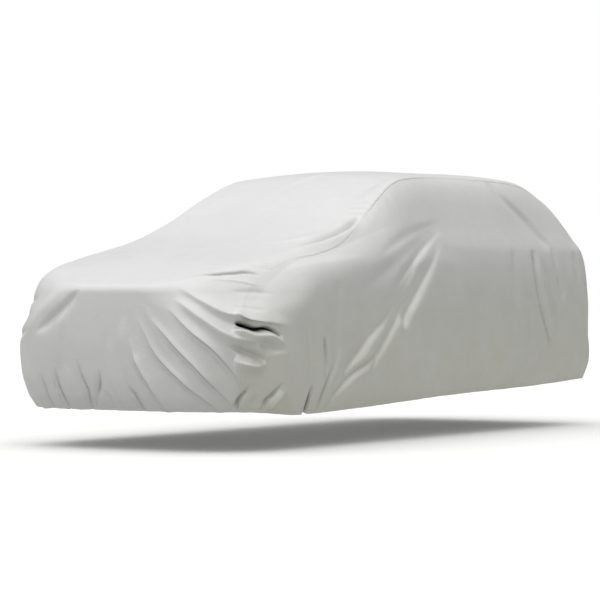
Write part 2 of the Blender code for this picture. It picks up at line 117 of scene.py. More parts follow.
# The middle of the hollow, from which each point of the cloth is thrown out onto the smooth drape.
HEART_ALONG = (0.65, 4.00)
HEART_UP = 0.55
HEART_ACROSS_SHARE = 0.25
LONGEST_THROW = 2.2
HALVINGS = 26
PROBE = 0.002


def smooth_through(rows, column, at):
    """A smooth curve without overshoot through a table's rows, at values of its first column."""
    knots = np.array([row[0] for row in rows])
    values = np.array([row[column] for row in rows])
    steps = np.diff(knots)
    slopes = np.diff(values) / steps
    tangents = np.zeros(len(knots))
    before = 2 * steps[1:] + steps[:-1]
    after = steps[1:] + 2 * steps[:-1]
    same_way = slopes[1:] * slopes[:-1] > 0
    weights = before[same_way] / slopes[:-1][same_way] + after[same_way] / slopes[1:][same_way]
    tangents[1:-1][same_way] = (before + after)[same_way] / weights
    tangents[0] = slopes[0]
    tangents[-1] = slopes[-1]
    at = np.clip(at, knots[0], knots[-1])
    span = np.clip(np.searchsorted(knots, at, side="right") - 1, 0, len(steps) - 1)
    share = (at - knots[span]) / steps[span]
    start_weight = 2 * share**3 - 3 * share**2 + 1
    start_pull = (share**3 - 2 * share**2 + share) * steps[span] * tangents[span]
    end_pull = (share**3 - share**2) * steps[span] * tangents[span + 1]
    between = start_weight * values[span] + (1 - start_weight) * values[span + 1]
    return between + start_pull + end_pull


def top_height(across, along):
    """Height of the front deck, the slope and the top over a place."""
    ridge = smooth_through(RIDGE, RIDGE_COLUMNS.index("up"), along)
    crown = smooth_through(RIDGE, RIDGE_COLUMNS.index("crown"), along)
    return ridge - crown * (np.abs(across) / CROWN_HALF_WIDTH) ** CROWN_POWER


def wall_distance(across, along, up):
    """Distance outside a level slice with round corners and a bowed nose."""
    half, nose, tail, nose_radius, tail_radius = (
        smooth_through(SLICES, SLICE_COLUMNS.index(name), up) for name in SLICE_COLUMNS[1:]
    )
    bow = np.clip((NOSE_BOW_END - along) / NOSE_BOW_LENGTH, 0, 1)
    along = along - NOSE_BOW * bow * (across / NOSE_BOW_HALF_WIDTH) ** 2
    in_front = along < MIDDLE_ALONG
    radius = np.where(in_front, nose_radius, tail_radius)
    past_end = np.where(in_front, nose + radius - along, along - (tail - radius))
    past_side = np.abs(across) - (half - radius)
    outside = np.hypot(np.maximum(past_side, 0), np.maximum(past_end, 0))
    inside = np.minimum(np.maximum(past_side, past_end), 0)
    return outside + inside - radius


def outside_of_shape(points):
    """Roughly how far points lie outside the smooth drape, below zero inside."""
    across, along, up = points[..., 0], points[..., 1], points[..., 2]
    rise = top_height(across, along + PROBE) - top_height(across, along - PROBE)
    over_top = (up - top_height(across, along)) / np.hypot(1, rise / (2 * PROBE))
    past_wall = wall_distance(across, along, up)
    softness = smooth_through(RIDGE, RIDGE_COLUMNS.index("softness"), along)
    sideways = np.minimum(np.abs(across) / SIDE_SOFTNESS_HALF_WIDTH, 1)
    softness = softness + SIDE_SOFTNESS * sideways**SIDE_SOFTNESS_POWER
    overlap = np.maximum(softness - np.abs(over_top - past_wall), 0) / softness
    return np.maximum(over_top, past_wall) + softness * overlap**2 / 4


def outward(points):
    """Unit normals of the smooth drape."""
    slopes = []
    for step in PROBE * np.eye(3):
        slopes.append(outside_of_shape(points + step) - outside_of_shape(points - step))
    normals = np.stack(slopes, axis=-1)
    return normals / np.linalg.norm(normals, axis=-1, keepdims=True)


def throw_onto_shape(guides):
    """Move guide points straight out from the middle of the hollow until they meet the drape."""
    hearts = np.empty_like(guides)
    hearts[..., 0] = HEART_ACROSS_SHARE * guides[..., 0]
    hearts[..., 1] = np.clip(guides[..., 1], *HEART_ALONG)
    hearts[..., 2] = np.minimum(guides[..., 2], HEART_UP)
    ways = guides - hearts
    ways = ways / np.linalg.norm(ways, axis=-1, keepdims=True)
    near = np.zeros(guides.shape[:-1])
    far = np.full(guides.shape[:-1], LONGEST_THROW)
    for _ in range(HALVINGS):
        middle = (near + far) / 2
        inside = outside_of_shape(hearts + ways * middle[..., None]) < 0
        near = np.where(inside, middle, near)
        far = np.where(inside, far, middle)
    return hearts + ways * far[..., None]


# Creases: (rise, left, right, crest, path), and a lean where there is one. A crease rises by rise
# along its path, or falls where that is below zero. It is left wide on its left and right wide on
# its right, seen from outside. crest is 2 for a round crest and less for a sharp one. lean pushes
# it over, to its left where above zero. A path's points are (across, along, up, share of the rise).

# Lines that the pull of the cloth draws sharp as well: long taut pulls across the nose.
FIRST_PULL = (
    (0.15, 0.02, 0.66, 0), (0.17, 0.02, 0.58, 0.3), (0.21, 0.025, 0.5, 0.9), (0.28, 0.05, 0.386, 1),
    (0.345, 0.11, 0.252, 0.6),
)
SECOND_PULL = (
    (0.2, 0.02, 0.78, 0), (0.33, 0.03, 0.57, 0.6), (0.5, 0.06, 0.41, 1), (0.66, 0.18, 0.25, 0.3),
)
THIRD_PULL = (
    (0.3, 0.02, 0.77, 0), (0.44, 0.04, 0.63, 0.7), (0.6, 0.08, 0.47, 1), (0.72, 0.21, 0.29, 0.3),
)
CORNER_PULL = (
    (0.4, 0.04, 0.83, 0), (0.54, 0.05, 0.71, 0.6), (0.68, 0.11, 0.585, 1), (0.79, 0.22, 0.4, 0.3),
)

# Thin tucks, drawn sharp inwards: at the deck's corner, above the nose hem and on the left side.
DECK_LINE = (
    (0.46, 0.23, 1.017, 0), (0.53, 0.26, 1.022, 0.55), (0.58, 0.29, 1.024, 0.7),
    (0.61, 0.32, 1.027, 0.65), (0.65, 0.36, 1.028, 0.55), (0.68, 0.4, 1.035, 0.5),
    (0.72, 0.44, 1.029, 0.3), (0.76, 0.48, 1.013, 0),
)
HEM_PUCKERS = (
    ((-0.24, 0.03, 0.53, 0), (-0.21, 0.04, 0.42, 0.4), (-0.18, 0.06, 0.33, 0.6),
     (-0.19, 0.11, 0.24, 0.3)),
    ((-0.07, 0.03, 0.47, 0), (-0.09, 0.05, 0.37, 0.6), (-0.12, 0.075, 0.31, 0)),
    ((0.12, 0.05, 0.38, 0), (0.16, 0.06, 0.32, 0.5), (0.18, 0.11, 0.24, 0.4)),
    ((-0.41, 0.04, 0.48, 0), (-0.4, 0.06, 0.38, 0.5), (-0.38, 0.08, 0.31, 0.6),
     (-0.36, 0.13, 0.24, 0.3)),
    ((-0.52, 0.07, 0.44, 0), (-0.5, 0.09, 0.34, 0.4), (-0.49, 0.14, 0.24, 0.2)),
)
TAIL_LINE = (
    (0.87, 3.55, 1.2, 0), (0.88, 3.54, 1.146, 0.5), (0.92, 3.53, 1.01, 0.9), (0.93, 3.55, 0.879, 1),
    (0.93, 3.59, 0.779, 0.9), (0.93, 3.67, 0.625, 0.4), (0.93, 3.69, 0.54, 0),
)
UPRIGHT_LINE = (
    (0.93, 0.875, 0.67, 0), (0.93, 0.89, 0.61, 0.7), (0.93, 0.905, 0.53, 0.5), (0.92, 0.91, 0.46, 0),
)
REAR_LINE = (
    (0.93, 1.0, 0.53, 0), (0.92, 0.95, 0.42, 0.3), (0.9, 0.9, 0.32, 0.6), (0.88, 0.87, 0.24, 0.2),
)

# Creases that cross a seam, or run beside one, shape both panels.
SHARED_CREASES = (
    # Pulls that run across the nose into its corner.
    (0.028, 0.055, 0.022, 1.2, CORNER_PULL),
    (0.04, 0.045, 0.026, 1.5,
     ((0.44, 0.05, 0.89, 0), (0.61, 0.09, 0.76, 0.8), (0.74, 0.15, 0.67, 1), (0.85, 0.27, 0.63, 0.2))),
    (0.042, 0.05, 0.026, 1.4,
     ((0.43, 0.1, 0.95, 0), (0.62, 0.13, 0.84, 0.7), (0.74, 0.19, 0.78, 1), (0.81, 0.27, 0.77, 0.4),
      (0.86, 0.34, 0.76, 0))),
    # The deep tuck at the nose corner: its hanging upper lip, the slit, and the lower lip.
    (0.036, 0.06, 0.028, 1.6,
     ((0.75, 0.2, 0.79, 0), (0.79, 0.24, 0.782, 0.8), (0.85, 0.33, 0.775, 1), (0.9, 0.41, 0.75, 0.7),
      (0.93, 0.52, 0.71, 0)), -0.04),
    (-0.12, 0.011, 0.011, 2.0,
     ((0.76, 0.195, 0.745, 0), (0.785, 0.22, 0.733, 0.9), (0.82, 0.26, 0.714, 1),
      (0.845, 0.29, 0.705, 1), (0.87, 0.335, 0.712, 0.7), (0.89, 0.38, 0.698, 0.55),
      (0.91, 0.42, 0.674, 0.35), (0.92, 0.44, 0.66, 0)), 0.05),
    (0.05, 0.028, 0.026, 1.7,
     ((0.75, 0.17, 0.7, 0), (0.79, 0.22, 0.688, 0.8), (0.84, 0.27, 0.665, 1), (0.88, 0.34, 0.663, 1),
      (0.91, 0.42, 0.634, 0.7), (0.92, 0.47, 0.62, 0))),
    # Small sharp folds beside it.
    (0.012, 0.012, 0.012, 1.6,
     ((0.75, 0.21, 0.8, 0), (0.77, 0.23, 0.786, 1), (0.79, 0.25, 0.775, 0.8), (0.81, 0.27, 0.77, 0))),
    (0.01, 0.009, 0.011, 1.4,
     ((0.75, 0.17, 0.655, 0), (0.78, 0.19, 0.648, 1), (0.82, 0.24, 0.638, 1), (0.84, 0.27, 0.63, 0))),
    # The pocket under it, and the bright ledge below the pocket.
    (-0.036, 0.02, 0.018, 2.0,
     ((0.74, 0.15, 0.62, 0), (0.8, 0.21, 0.585, 0.9), (0.84, 0.26, 0.563, 1),
      (0.865, 0.305, 0.541, 0.7), (0.885, 0.34, 0.52, 0))),
    (0.068, 0.034, 0.042, 1.4,
     ((0.772, 0.172, 0.53, 0), (0.792, 0.2, 0.52, 0.7), (0.82, 0.235, 0.507, 1),
      (0.85, 0.275, 0.497, 0.8), (0.875, 0.32, 0.5, 0.25), (0.89, 0.35, 0.505, 0))),
    # Crumples where the two seam runs meet, above the tuck.
    (-0.022, 0.012, 0.012, 1.3, DECK_LINE),
    (0.005, 0.014, 0.007, 1.2,
     ((0.54, 0.22, 0.99, 0), (0.6, 0.25, 0.989, 0.7), (0.68, 0.32, 0.982, 1), (0.73, 0.37, 0.97, 1),
      (0.79, 0.43, 0.955, 0))),
    (-0.006, 0.01, 0.01, 1.3,
     ((0.66, 0.46, 1.075, 0), (0.7, 0.5, 1.066, 1), (0.74, 0.53, 1.057, 1), (0.79, 0.58, 1.03, 0))),
    (-0.007, 0.02, 0.02, 2.0,
     ((0.68, 0.26, 0.92, 0), (0.73, 0.31, 0.919, 0.8), (0.77, 0.37, 0.919, 1), (0.85, 0.47, 0.91, 0))),
    (-0.006, 0.012, 0.012, 1.8,
     ((0.73, 0.21, 0.83, 0), (0.77, 0.26, 0.827, 1), (0.81, 0.31, 0.822, 1), (0.86, 0.4, 0.81, 0))),
    # A gather where the corner seam meets the hem.
    (-0.042, 0.011, 0.012, 1.7,
     ((0.81, 0.26, 0.39, 0), (0.8, 0.26, 0.356, 0.5), (0.76, 0.25, 0.31, 1), (0.74, 0.25, 0.278, 1),
      (0.73, 0.27, 0.25, 0.3), (0.73, 0.28, 0.235, 0))),
    # The roll and its hollow along the seam, between the front deck and the slope.
    (0.01, 0.026, 0.04, 2.0,
     ((0.66, 0.86, 1.16, 0), (0.71, 0.95, 1.168, 0.7), (0.73, 1.09, 1.192, 1), (0.74, 1.21, 1.217, 1),
      (0.74, 1.31, 1.243, 1), (0.735, 1.42, 1.278, 1), (0.73, 1.5, 1.305, 0.7), (0.72, 1.58, 1.34, 0))),
    (-0.056, 0.03, 0.02, 1.8,
     ((0.64, 1.0, 1.19, 0), (0.665, 1.09, 1.205, 0.6), (0.685, 1.18, 1.226, 1), (0.695, 1.28, 1.25, 1),
      (0.7, 1.38, 1.278, 1), (0.7, 1.48, 1.31, 1), (0.69, 1.57, 1.345, 0.8), (0.68, 1.66, 1.38, 0))),
    # The shoulder, full below the roll.
    (0.014, 0.05, 0.12, 2.0,
     ((0.84, 0.62, 1.06, 0), (0.87, 0.86, 1.075, 0.9), (0.88, 1.06, 1.085, 1), (0.88, 1.22, 1.1, 0.6),
      (0.88, 1.42, 1.13, 0))),
    # Short puckers across the seam on the slope, and the long pull from the top down to the tail.
    (-0.01, 0.01, 0.01, 1.6,
     ((0.54, 1.74, 1.44, 0), (0.6, 1.75, 1.44, 1), (0.68, 1.77, 1.437, 1), (0.74, 1.79, 1.42, 0))),
    (-0.009, 0.01, 0.01, 1.6,
     ((0.58, 1.67, 1.4, 0), (0.63, 1.68, 1.402, 1), (0.7, 1.7, 1.395, 1), (0.75, 1.72, 1.38, 0))),
    (-0.008, 0.01, 0.01, 1.6,
     ((0.52, 1.8, 1.48, 0), (0.57, 1.81, 1.474, 1), (0.66, 1.83, 1.466, 1), (0.71, 1.84, 1.45, 0))),
    (-0.02, 0.024, 0.06, 1.6,
     ((0.6, 3.36, 1.65, 0), (0.64, 3.41, 1.626, 0.6), (0.7, 3.46, 1.553, 0.9), (0.74, 3.55, 1.468, 1),
      (0.78, 3.66, 1.375, 1), (0.83, 3.75, 1.282, 0.9), (0.86, 3.83, 1.21, 0.4),
      (0.87, 3.86, 1.16, 0))),
    (0.026, 0.09, 0.09, 2.0,
     ((0.66, 4.02, 1.56, 0), (0.7, 4.1, 1.49, 0.5), (0.8, 4.25, 1.28, 0.6), (0.84, 4.28, 1.2, 1),
      (0.87, 4.31, 1.1, 0.4), (0.9, 4.32, 0.95, 0))),
    (0.018, 0.08, 0.08, 2.0,
     ((0.9, 4.32, 0.62, 0), (0.9, 4.32, 0.46, 1), (0.88, 4.3, 0.34, 0.8))),
    # The full far nose corner with two small creases in it, and the far end of the slope.
    (0.036, 0.13, 0.13, 2.0,
     ((-0.64, 0.56, 1.11, 0), (-0.7, 0.42, 1.055, 0.6), (-0.71, 0.31, 0.99, 1), (-0.75, 0.28, 0.9, 0.5),
      (-0.78, 0.26, 0.83, 0))),
    (-0.014, 0.07, 0.05, 2.0,
     ((-0.66, 0.13, 0.78, 0), (-0.8, 0.26, 0.785, 1), (-0.9, 0.46, 0.785, 1), (-0.94, 0.8, 0.78, 0))),
    (-0.012, 0.02, 0.022, 1.8,
     ((-0.62, 0.16, 0.88, 0), (-0.76, 0.26, 0.868, 1), (-0.88, 0.45, 0.85, 1), (-0.94, 0.75, 0.84, 0))),
    (-0.012, 0.026, 0.022, 1.8,
     ((-0.64, 0.1, 0.7, 0), (-0.75, 0.16, 0.675, 1), (-0.88, 0.38, 0.64, 1), (-0.94, 0.75, 0.62, 0))),
    (-0.014, 0.05, 0.05, 2.0,
     ((-0.6, 3.32, 1.66, 0), (-0.7, 3.44, 1.55, 1), (-0.8, 3.62, 1.34, 1), (-0.92, 3.84, 0.98, 0))),
    # Sags where the tail corners' seams turn down.
    (-0.03, 0.06, 0.06, 2.0,
     ((0.76, 4.22, 1.16, 0), (0.66, 4.38, 1.06, 1), (0.48, 4.49, 0.8, 1), (0.38, 4.46, 0.34, 0.8))),
    (-0.028, 0.065, 0.065, 2.0,
     ((-0.74, 4.26, 1.2, 0), (-0.6, 4.38, 1.14, 0.6), (-0.4, 4.49, 0.86, 1), (-0.2, 4.48, 0.5, 0))),
)

CENTRE_CREASES = (
    # The fan of pulls from the deck's front edge down towards the nose corner.
    (0.028, 0.06, 0.022, 1.2, FIRST_PULL),
    (0.023, 0.052, 0.022, 1.3, SECOND_PULL),
    (0.029, 0.052, 0.022, 1.2, THIRD_PULL),
    (0.007, 0.03, 0.02, 1.4,
     ((0.24, 0.02, 0.86, 0), (0.31, 0.02, 0.74, 1), (0.38, 0.03, 0.62, 0.7), (0.46, 0.05, 0.52, 0))),
    # Soft upright pulls and small puckers above the front hem.
    (0.013, 0.04, 0.02, 1.8,
     ((0.11, 0.02, 0.78, 0), (0.1, 0.02, 0.64, 1), (0.11, 0.03, 0.5, 0.8), (0.16, 0.07, 0.32, 0.2))),
    (0.014, 0.045, 0.014, 1.3,
     ((0.0, 0.02, 0.66, 0), (0.0, 0.03, 0.52, 0.8), (0.02, 0.05, 0.38, 1), (0.07, 0.1, 0.25, 0.5))),
    (-0.017, 0.012, 0.02, 1.3,
     ((-0.24, 0.03, 0.53, 0), (-0.21, 0.04, 0.42, 0.8), (-0.18, 0.06, 0.33, 1),
      (-0.19, 0.11, 0.24, 0.6))),
    (-0.019, 0.013, 0.016, 1.3,
     ((-0.07, 0.03, 0.47, 0), (-0.09, 0.05, 0.37, 1), (-0.15, 0.1, 0.25, 0.5))),
    (-0.016, 0.012, 0.012, 1.3,
     ((0.12, 0.05, 0.38, 0), (0.16, 0.06, 0.32, 1), (0.18, 0.11, 0.24, 0.7))),
    (-0.014, 0.011, 0.012, 1.3,
     ((-0.07, 0.05, 0.36, 0), (-0.03, 0.07, 0.3, 1), (-0.02, 0.11, 0.24, 0.5))),
    (-0.019, 0.013, 0.022, 1.3,
     ((-0.41, 0.04, 0.48, 0), (-0.4, 0.06, 0.38, 1), (-0.38, 0.08, 0.31, 1), (-0.36, 0.13, 0.24, 0.6))),
    (0.01, 0.024, 0.03, 1.8,
     ((-0.32, 0.03, 0.5, 0), (-0.3, 0.05, 0.38, 1), (-0.28, 0.1, 0.25, 0.6))),
    (-0.014, 0.014, 0.018, 1.3,
     ((-0.52, 0.07, 0.44, 0), (-0.5, 0.09, 0.34, 1), (-0.49, 0.14, 0.24, 0.6))),
    (0.014, 0.05, 0.05, 2.0,
     ((-0.66, 0.16, 0.6, 0), (-0.62, 0.16, 0.42, 1), (-0.56, 0.2, 0.25, 0.6))),
    # The long hollow and its two swells at the far corner.
    (-0.026, 0.04, 0.018, 1.7,
     ((-0.22, 0.05, 0.925, 0), (-0.29, 0.03, 0.877, 0.8), (-0.38, 0.03, 0.811, 1),
      (-0.47, 0.04, 0.745, 0.9), (-0.56, 0.05, 0.68, 0))),
    (0.012, 0.035, 0.035, 2.0,
     ((-0.31, 0.03, 0.83, 0), (-0.36, 0.03, 0.73, 1), (-0.38, 0.03, 0.6, 0.8), (-0.36, 0.03, 0.46, 0))),
    (0.014, 0.05, 0.05, 2.0,
     ((-0.34, 0.05, 0.94, 0), (-0.47, 0.05, 0.86, 1), (-0.58, 0.08, 0.76, 1), (-0.66, 0.12, 0.64, 0))),
    # Slack on the slope, its dull hollow and the crease at its head.
    (0.012, 0.05, 0.04, 2.0,
     ((0.45, 1.0, 1.22, 0), (0.6, 1.22, 1.26, 1), (0.66, 1.45, 1.34, 0))),
    (-0.018, 0.11, 0.05, 2.0,
     ((0.52, 1.78, 1.46, 0), (0.52, 1.93, 1.53, 0.8), (0.52, 2.06, 1.59, 1), (0.52, 2.2, 1.63, 0.8),
      (0.53, 2.38, 1.66, 0))),
    (0.006, 0.05, 0.014, 1.4,
     ((-0.1, 2.0, 1.58, 0), (-0.03, 2.1, 1.62, 1), (0.04, 2.2, 1.66, 1), (0.06, 2.36, 1.69, 0))),
    # Pulls and sags down the tail.
    (0.028, 0.055, 0.055, 2.0,
     ((0.7, 4.42, 0.86, 0), (0.62, 4.44, 0.6, 1), (0.56, 4.38, 0.33, 1))),
    (0.03, 0.055, 0.055, 2.0,
     ((-0.72, 4.4, 0.8, 0), (-0.58, 4.46, 0.58, 1), (-0.46, 4.42, 0.34, 1))),
    (-0.02, 0.06, 0.06, 2.0,
     ((0.36, 4.3, 1.44, 0), (0.02, 4.36, 1.32, 1), (-0.36, 4.32, 1.42, 0))),
    (0.018, 0.06, 0.06, 2.0,
     ((0.1, 4.5, 0.76, 0), (0.04, 4.49, 0.54, 1), (-0.02, 4.44, 0.34, 1))),
)

# A crease is followed in CREASE_STEPS steps, acts within CREASE_REACH of its widths and narrows at
# its ends to CREASE_POINT of them. One that falls deeper than FOLDED_IN hides cloth inside itself,
# and how deep it lies folded is kept for the painted shade laid into it.
# A sharp line acts within PINCH_REACH and fades out over PINCH_FADE. Where two lie close together,
# the stronger rules, and each loses strength over PINCH_SPREAD.
CREASE_STEPS = 60
CREASE_REACH = 3.2
CREASE_BATCH = 4000
CREASE_POINT = 0.45
FOLDED_IN = -0.08
PINCH_REACH = 0.032
PINCH_FADE = 0.014
PINCH_SPREAD = 0.010


def crease_path(path):
    """Points along a crease on the smooth drape, with the share of its rise at each."""
    table = np.array(path, dtype=float)
    reach = np.concatenate(([0], np.cumsum(np.linalg.norm(np.diff(table[:, :3], axis=0), axis=1))))
    rows = np.column_stack((reach, table))
    at = np.linspace(0, reach[-1], CREASE_STEPS)
    across, along, up, shares = (smooth_through(rows, column, at) for column in (1, 2, 3, 4))
    return throw_onto_shape(np.stack((across, along, up), axis=-1)), shares


def beside_crease(points, normals, path, reach):
    """The points near a crease, with their distance to its left and past its ends, and its share."""
    path, shares = crease_path(path)
    low = path.min(axis=0) - reach
    high = path.max(axis=0) + reach
    near = np.all((points > low) & (points < high), axis=-1)
    places = points[near]
    nearest = np.empty(len(places), dtype=int)
    for first in range(0, len(places), CREASE_BATCH):
        batch = places[first:first + CREASE_BATCH]
        distances = np.linalg.norm(batch[:, None, :] - path[None, :, :], axis=-1)
        nearest[first:first + CREASE_BATCH] = np.argmin(distances, axis=1)
    travel = np.gradient(path, axis=0)
    step = np.linalg.norm(travel, axis=-1)
    travel = travel / step[:, None]
    offset = places - path[nearest]
    to_left = np.cross(normals[near], travel[nearest])
    sideways = np.sum(offset * to_left, axis=-1)
    onward = np.sum(offset * travel[nearest], axis=-1)
    place = np.clip(nearest + onward / step[nearest], 0, CREASE_STEPS - 1)
    share = np.interp(place, np.arange(CREASE_STEPS), shares)
    past_end = np.maximum(np.abs(onward) - step[nearest], 0)
    return near, sideways, past_end, share, to_left


def move_crease(panel, crease):
    """Move a panel's cloth into one crease, and keep how deep each point lies folded in as painted
    shade.
    """
    rise, left, right, crest, path, *lean = crease
    reach = CREASE_REACH * max(left, right)
    normals = panel["normals"]
    near, sideways, past_end, share, to_left = beside_crease(panel["base"], normals, path, reach)
    taper = CREASE_POINT + (1 - CREASE_POINT) * share
    width = np.where(sideways > 0, left, right) * taper
    beside = (np.abs(sideways) / width) ** crest
    beyond = (past_end / min(left, right)) ** 2
    height = share * np.exp(-beside - beyond)
    moves = normals[near] * (rise * height)[:, None] + to_left * (sum(lean) * height**2)[:, None]
    if rise < FOLDED_IN:
        panel["folded_in"][near] = np.maximum(panel["folded_in"][near], height)
    return near, moves


def mark_pinch(panel, name, paths):
    """Keep each point's distance from the nearest of some sharp lines, and that line's share."""
    distance = np.full(panel["base"].shape[:-1], PINCH_REACH)
    strength = np.zeros_like(distance)
    for path in paths:
        near, sideways, past_end, share, _ = beside_crease(
            panel["base"], panel["normals"], path, PINCH_REACH
        )
        beside = np.clip((PINCH_REACH - np.abs(sideways)) / PINCH_FADE, 0, 1)
        share = share * beside * np.exp(-((past_end / PINCH_FADE) ** 2))
        sharper = share * np.exp(-np.abs(sideways) / PINCH_SPREAD)
        kept = strength[near] * np.exp(-np.abs(distance[near]) / PINCH_SPREAD)
        sideways = np.clip(sideways, -PINCH_REACH, PINCH_REACH)
        distance[near] = np.where(sharper > kept, sideways, distance[near])
        strength[near] = np.where(sharper > kept, share, strength[near])
    panel[name] = distance
    panel[name + "_share"] = strength


# The cloth's own small moves: the seam sinks between its two turned edges, the sewing draws the
# cloth beside it into puckers, the cord in the hem gathers it, and the whole hangs a little slack.
# The seam shows by shares along its run: (along, share). Noise seeds only choose the pattern.
SEAM_DEPTH = 0.004
SEAM_HALF_WIDTH = 0.0028
SEAM_SHOWS = (
    (0.00, 0.04), (0.70, 0.04), (0.88, 0.45), (1.38, 0.50),
    (1.50, 0.15), (1.70, 0.20), (1.84, 1.00), (4.60, 1.00),
)
SEAM_ROLL = 0.0012
SEAM_ROLL_PLACE = 0.010
PUCKER_LIFT = 0.0028
PUCKER_REACH = 0.045
PUCKER_LENGTH = 0.045
GATHER_LIFT = 0.0035
GATHER_REACH = 0.07
GATHER_SIZE = np.array((0.075, 0.075, 0.40))
SLACK_SIZE = 0.28
SLACK_EDGE = 0.10
OWN_CREASE_EDGE = 0.03
PUCKER_STRETCH = 3
PUCKER_SEED = 3.1
GATHER_SEED = 7.7
SLACK_SEED = 1.3


def ease(share):
    """A share from 0 to 1 with a gentle start and end."""
    share = np.clip(share, 0, 1)
    return share * share * (3 - 2 * share)


def soft_noise(points, size, seed):
    """Smooth hills and hollows of a given size, from -1 to 1, the same on every run."""
    places = (points / size + seed).reshape(-1, 3)
    return np.array([noise.noise(Vector(place)) for place in places]).reshape(points.shape[:-1])


def small_lift(panel, slack):
    """Lift from the seam, its puckers, the gathers above the hem and the slack of the cloth."""
    from_seam = panel["seam_distance"]
    lift = -SEAM_DEPTH * np.exp(-((from_seam / SEAM_HALF_WIDTH) ** 2))
    lift += SEAM_ROLL * np.exp(-(((from_seam - SEAM_ROLL_PLACE) / SEAM_ROLL_PLACE) ** 2))
    drawn_in = (from_seam / PUCKER_REACH) * np.exp(1 - from_seam / PUCKER_REACH)
    run = panel["seam_run"]
    beside_seam = np.stack((run, from_seam / PUCKER_STRETCH, 0 * run), axis=-1)
    lift += PUCKER_LIFT * drawn_in * soft_noise(beside_seam, PUCKER_LENGTH, PUCKER_SEED)
    lift *= smooth_through(SEAM_SHOWS, 1, panel["base"][..., 1])
    gathered = np.exp(-panel["hem_distance"] / GATHER_REACH)
    lift += GATHER_LIFT * gathered * soft_noise(panel["base"], GATHER_SIZE, GATHER_SEED)
    loose = np.minimum(from_seam / SLACK_EDGE, 1)
    lift += slack * soft_noise(panel["base"], SLACK_SIZE, SLACK_SEED) * loose
    return lift


def drape(panel, own_creases, slack, pinches):
    """Shape a panel's cloth: the smooth drape, moved by its seams, its slack and every crease."""
    base = panel["base"]
    panel["normals"] = outward(base)
    panel["folded_in"] = np.zeros(base.shape[:-1])
    cloth = base + panel["normals"] * small_lift(panel, slack)[..., None]
    for crease in SHARED_CREASES:
        near, moves = move_crease(panel, crease)
        cloth[near] += moves
    clear_of_seam = ease(panel["seam_distance"] / OWN_CREASE_EDGE)
    for crease in own_creases:
        near, moves = move_crease(panel, crease)
        cloth[near] += moves * clear_of_seam[near][:, None]
    panel["cloth"] = cloth
    for name, path in pinches.items():
        mark_pinch(panel, name, path)


# Cells of the cloth down the walls, along the top and across. Each spread is (share of the cells,
# share of the run). Thin cells follow the sewn edges and the hem, at these depths from them, and
# the next cell keeps CLEAR_OF_EDGE of a cell away.
WALL_CELLS = 160
TOP_CELLS = 292
ACROSS_CELLS = 152
WALL_SPREAD = ((0.0, 0.0), (0.28, 0.20), (0.60, 0.48), (1.0, 1.0))
TOP_SPREAD = ((0.0, 0.0), (0.28, 0.18), (0.62, 0.46), (0.82, 0.72), (1.0, 1.0))
ACROSS_SPREAD = ((0.0, 0.0), (0.07, 0.13), (0.42, 0.50), (0.72, 0.78), (1.0, 1.0))
WALL_LENGTH = 1.00
TOP_LENGTH = 3.80
ACROSS_LENGTH = 1.50
SEAM_CELLS = np.array((0.0, 0.003, 0.007, 0.013))
HEM_CELLS = np.array((0.0, 0.006, 0.014, 0.023, 0.031))
CLEAR_OF_EDGE = 0.4
HEM_THICKNESS = 0.003
HEM_ROUND = 0.0012


def edged_shares(cells, spread, first_edge, last_edge):
    """Shares of a run for its cells, with thin cells along both its edges."""
    shares = smooth_through(spread, 1, np.linspace(0, 1, cells + 1))
    clear = CLEAR_OF_EDGE / cells
    inner = shares[(shares > first_edge[-1] + clear) & (shares < 1 - last_edge[-1] - clear)]
    return np.concatenate((first_edge, inner, 1 - last_edge[::-1]))


WALL_SHARES = edged_shares(
    WALL_CELLS, WALL_SPREAD, SEAM_CELLS / WALL_LENGTH, HEM_CELLS / WALL_LENGTH
)
TOP_SHARES = edged_shares(TOP_CELLS, TOP_SPREAD, SEAM_CELLS / TOP_LENGTH, SEAM_CELLS / TOP_LENGTH)
ACROSS_SHARES = edged_shares(
    ACROSS_CELLS, ACROSS_SPREAD, SEAM_CELLS / ACROSS_LENGTH, SEAM_CELLS / ACROSS_LENGTH
)


def run_points(points, shares):
    """Points along a run, at shares of its length."""
    points = np.array(points)
    lengths = np.concatenate(([0], np.cumsum(np.linalg.norm(np.diff(points, axis=0), axis=1))))
    table = np.column_stack((lengths, points))
    at = shares * lengths[-1]
    return np.stack([smooth_through(table, column, at) for column in (1, 2, 3)], axis=-1)


def seam_runs():
    """The seam's guide points: nose and tail corners from the top downwards, and the top edge."""
    nose = run_points(NOSE_SEAM[::-1], WALL_SHARES)
    top = run_points(TOP_SEAM, TOP_SHARES)
    tail = run_points(TAIL_SEAM, WALL_SHARES)
    for run in (nose, tail):
        run[-1, 2] = smooth_through(HEM, 1, run[-1, 1])
    return nose, top, tail


def mirrored(points):
    """The same points on the other side."""
    return points * np.array((-1, 1, 1))


def arcs(points, axis):
    """Distance over the cloth from the first row (axis 0) or the first column (axis 1)."""
    steps = np.linalg.norm(np.diff(points, axis=axis), axis=-1)
    start = np.zeros_like(np.take(steps, [0], axis=axis))
    return np.concatenate((start, np.cumsum(steps, axis=axis)), axis=axis)


def turn_hem(panel):
    """Turn the last rows of a panel in and up behind it, as a folded hem."""
    rows = len(panel["cloth"])
    back = list(range(rows - 1, rows - 1 - len(HEM_CELLS), -1))
    order = list(range(rows)) + [rows - 1] + back
    down = panel["cloth"][-1] - panel["cloth"][-2]
    down = down / np.linalg.norm(down, axis=-1, keepdims=True)
    turned = {name: values[order] for name, values in panel.items()}
    turned["cloth"][rows] += down * HEM_ROUND - turned["normals"][rows] * HEM_THICKNESS / 2
    turned["cloth"][rows + 1:] -= turned["normals"][rows + 1:] * HEM_THICKNESS
    return turned


def flipped(panel):
    """A panel with its rows in the opposite order."""
    return {name: values[::-1] for name, values in panel.items()}


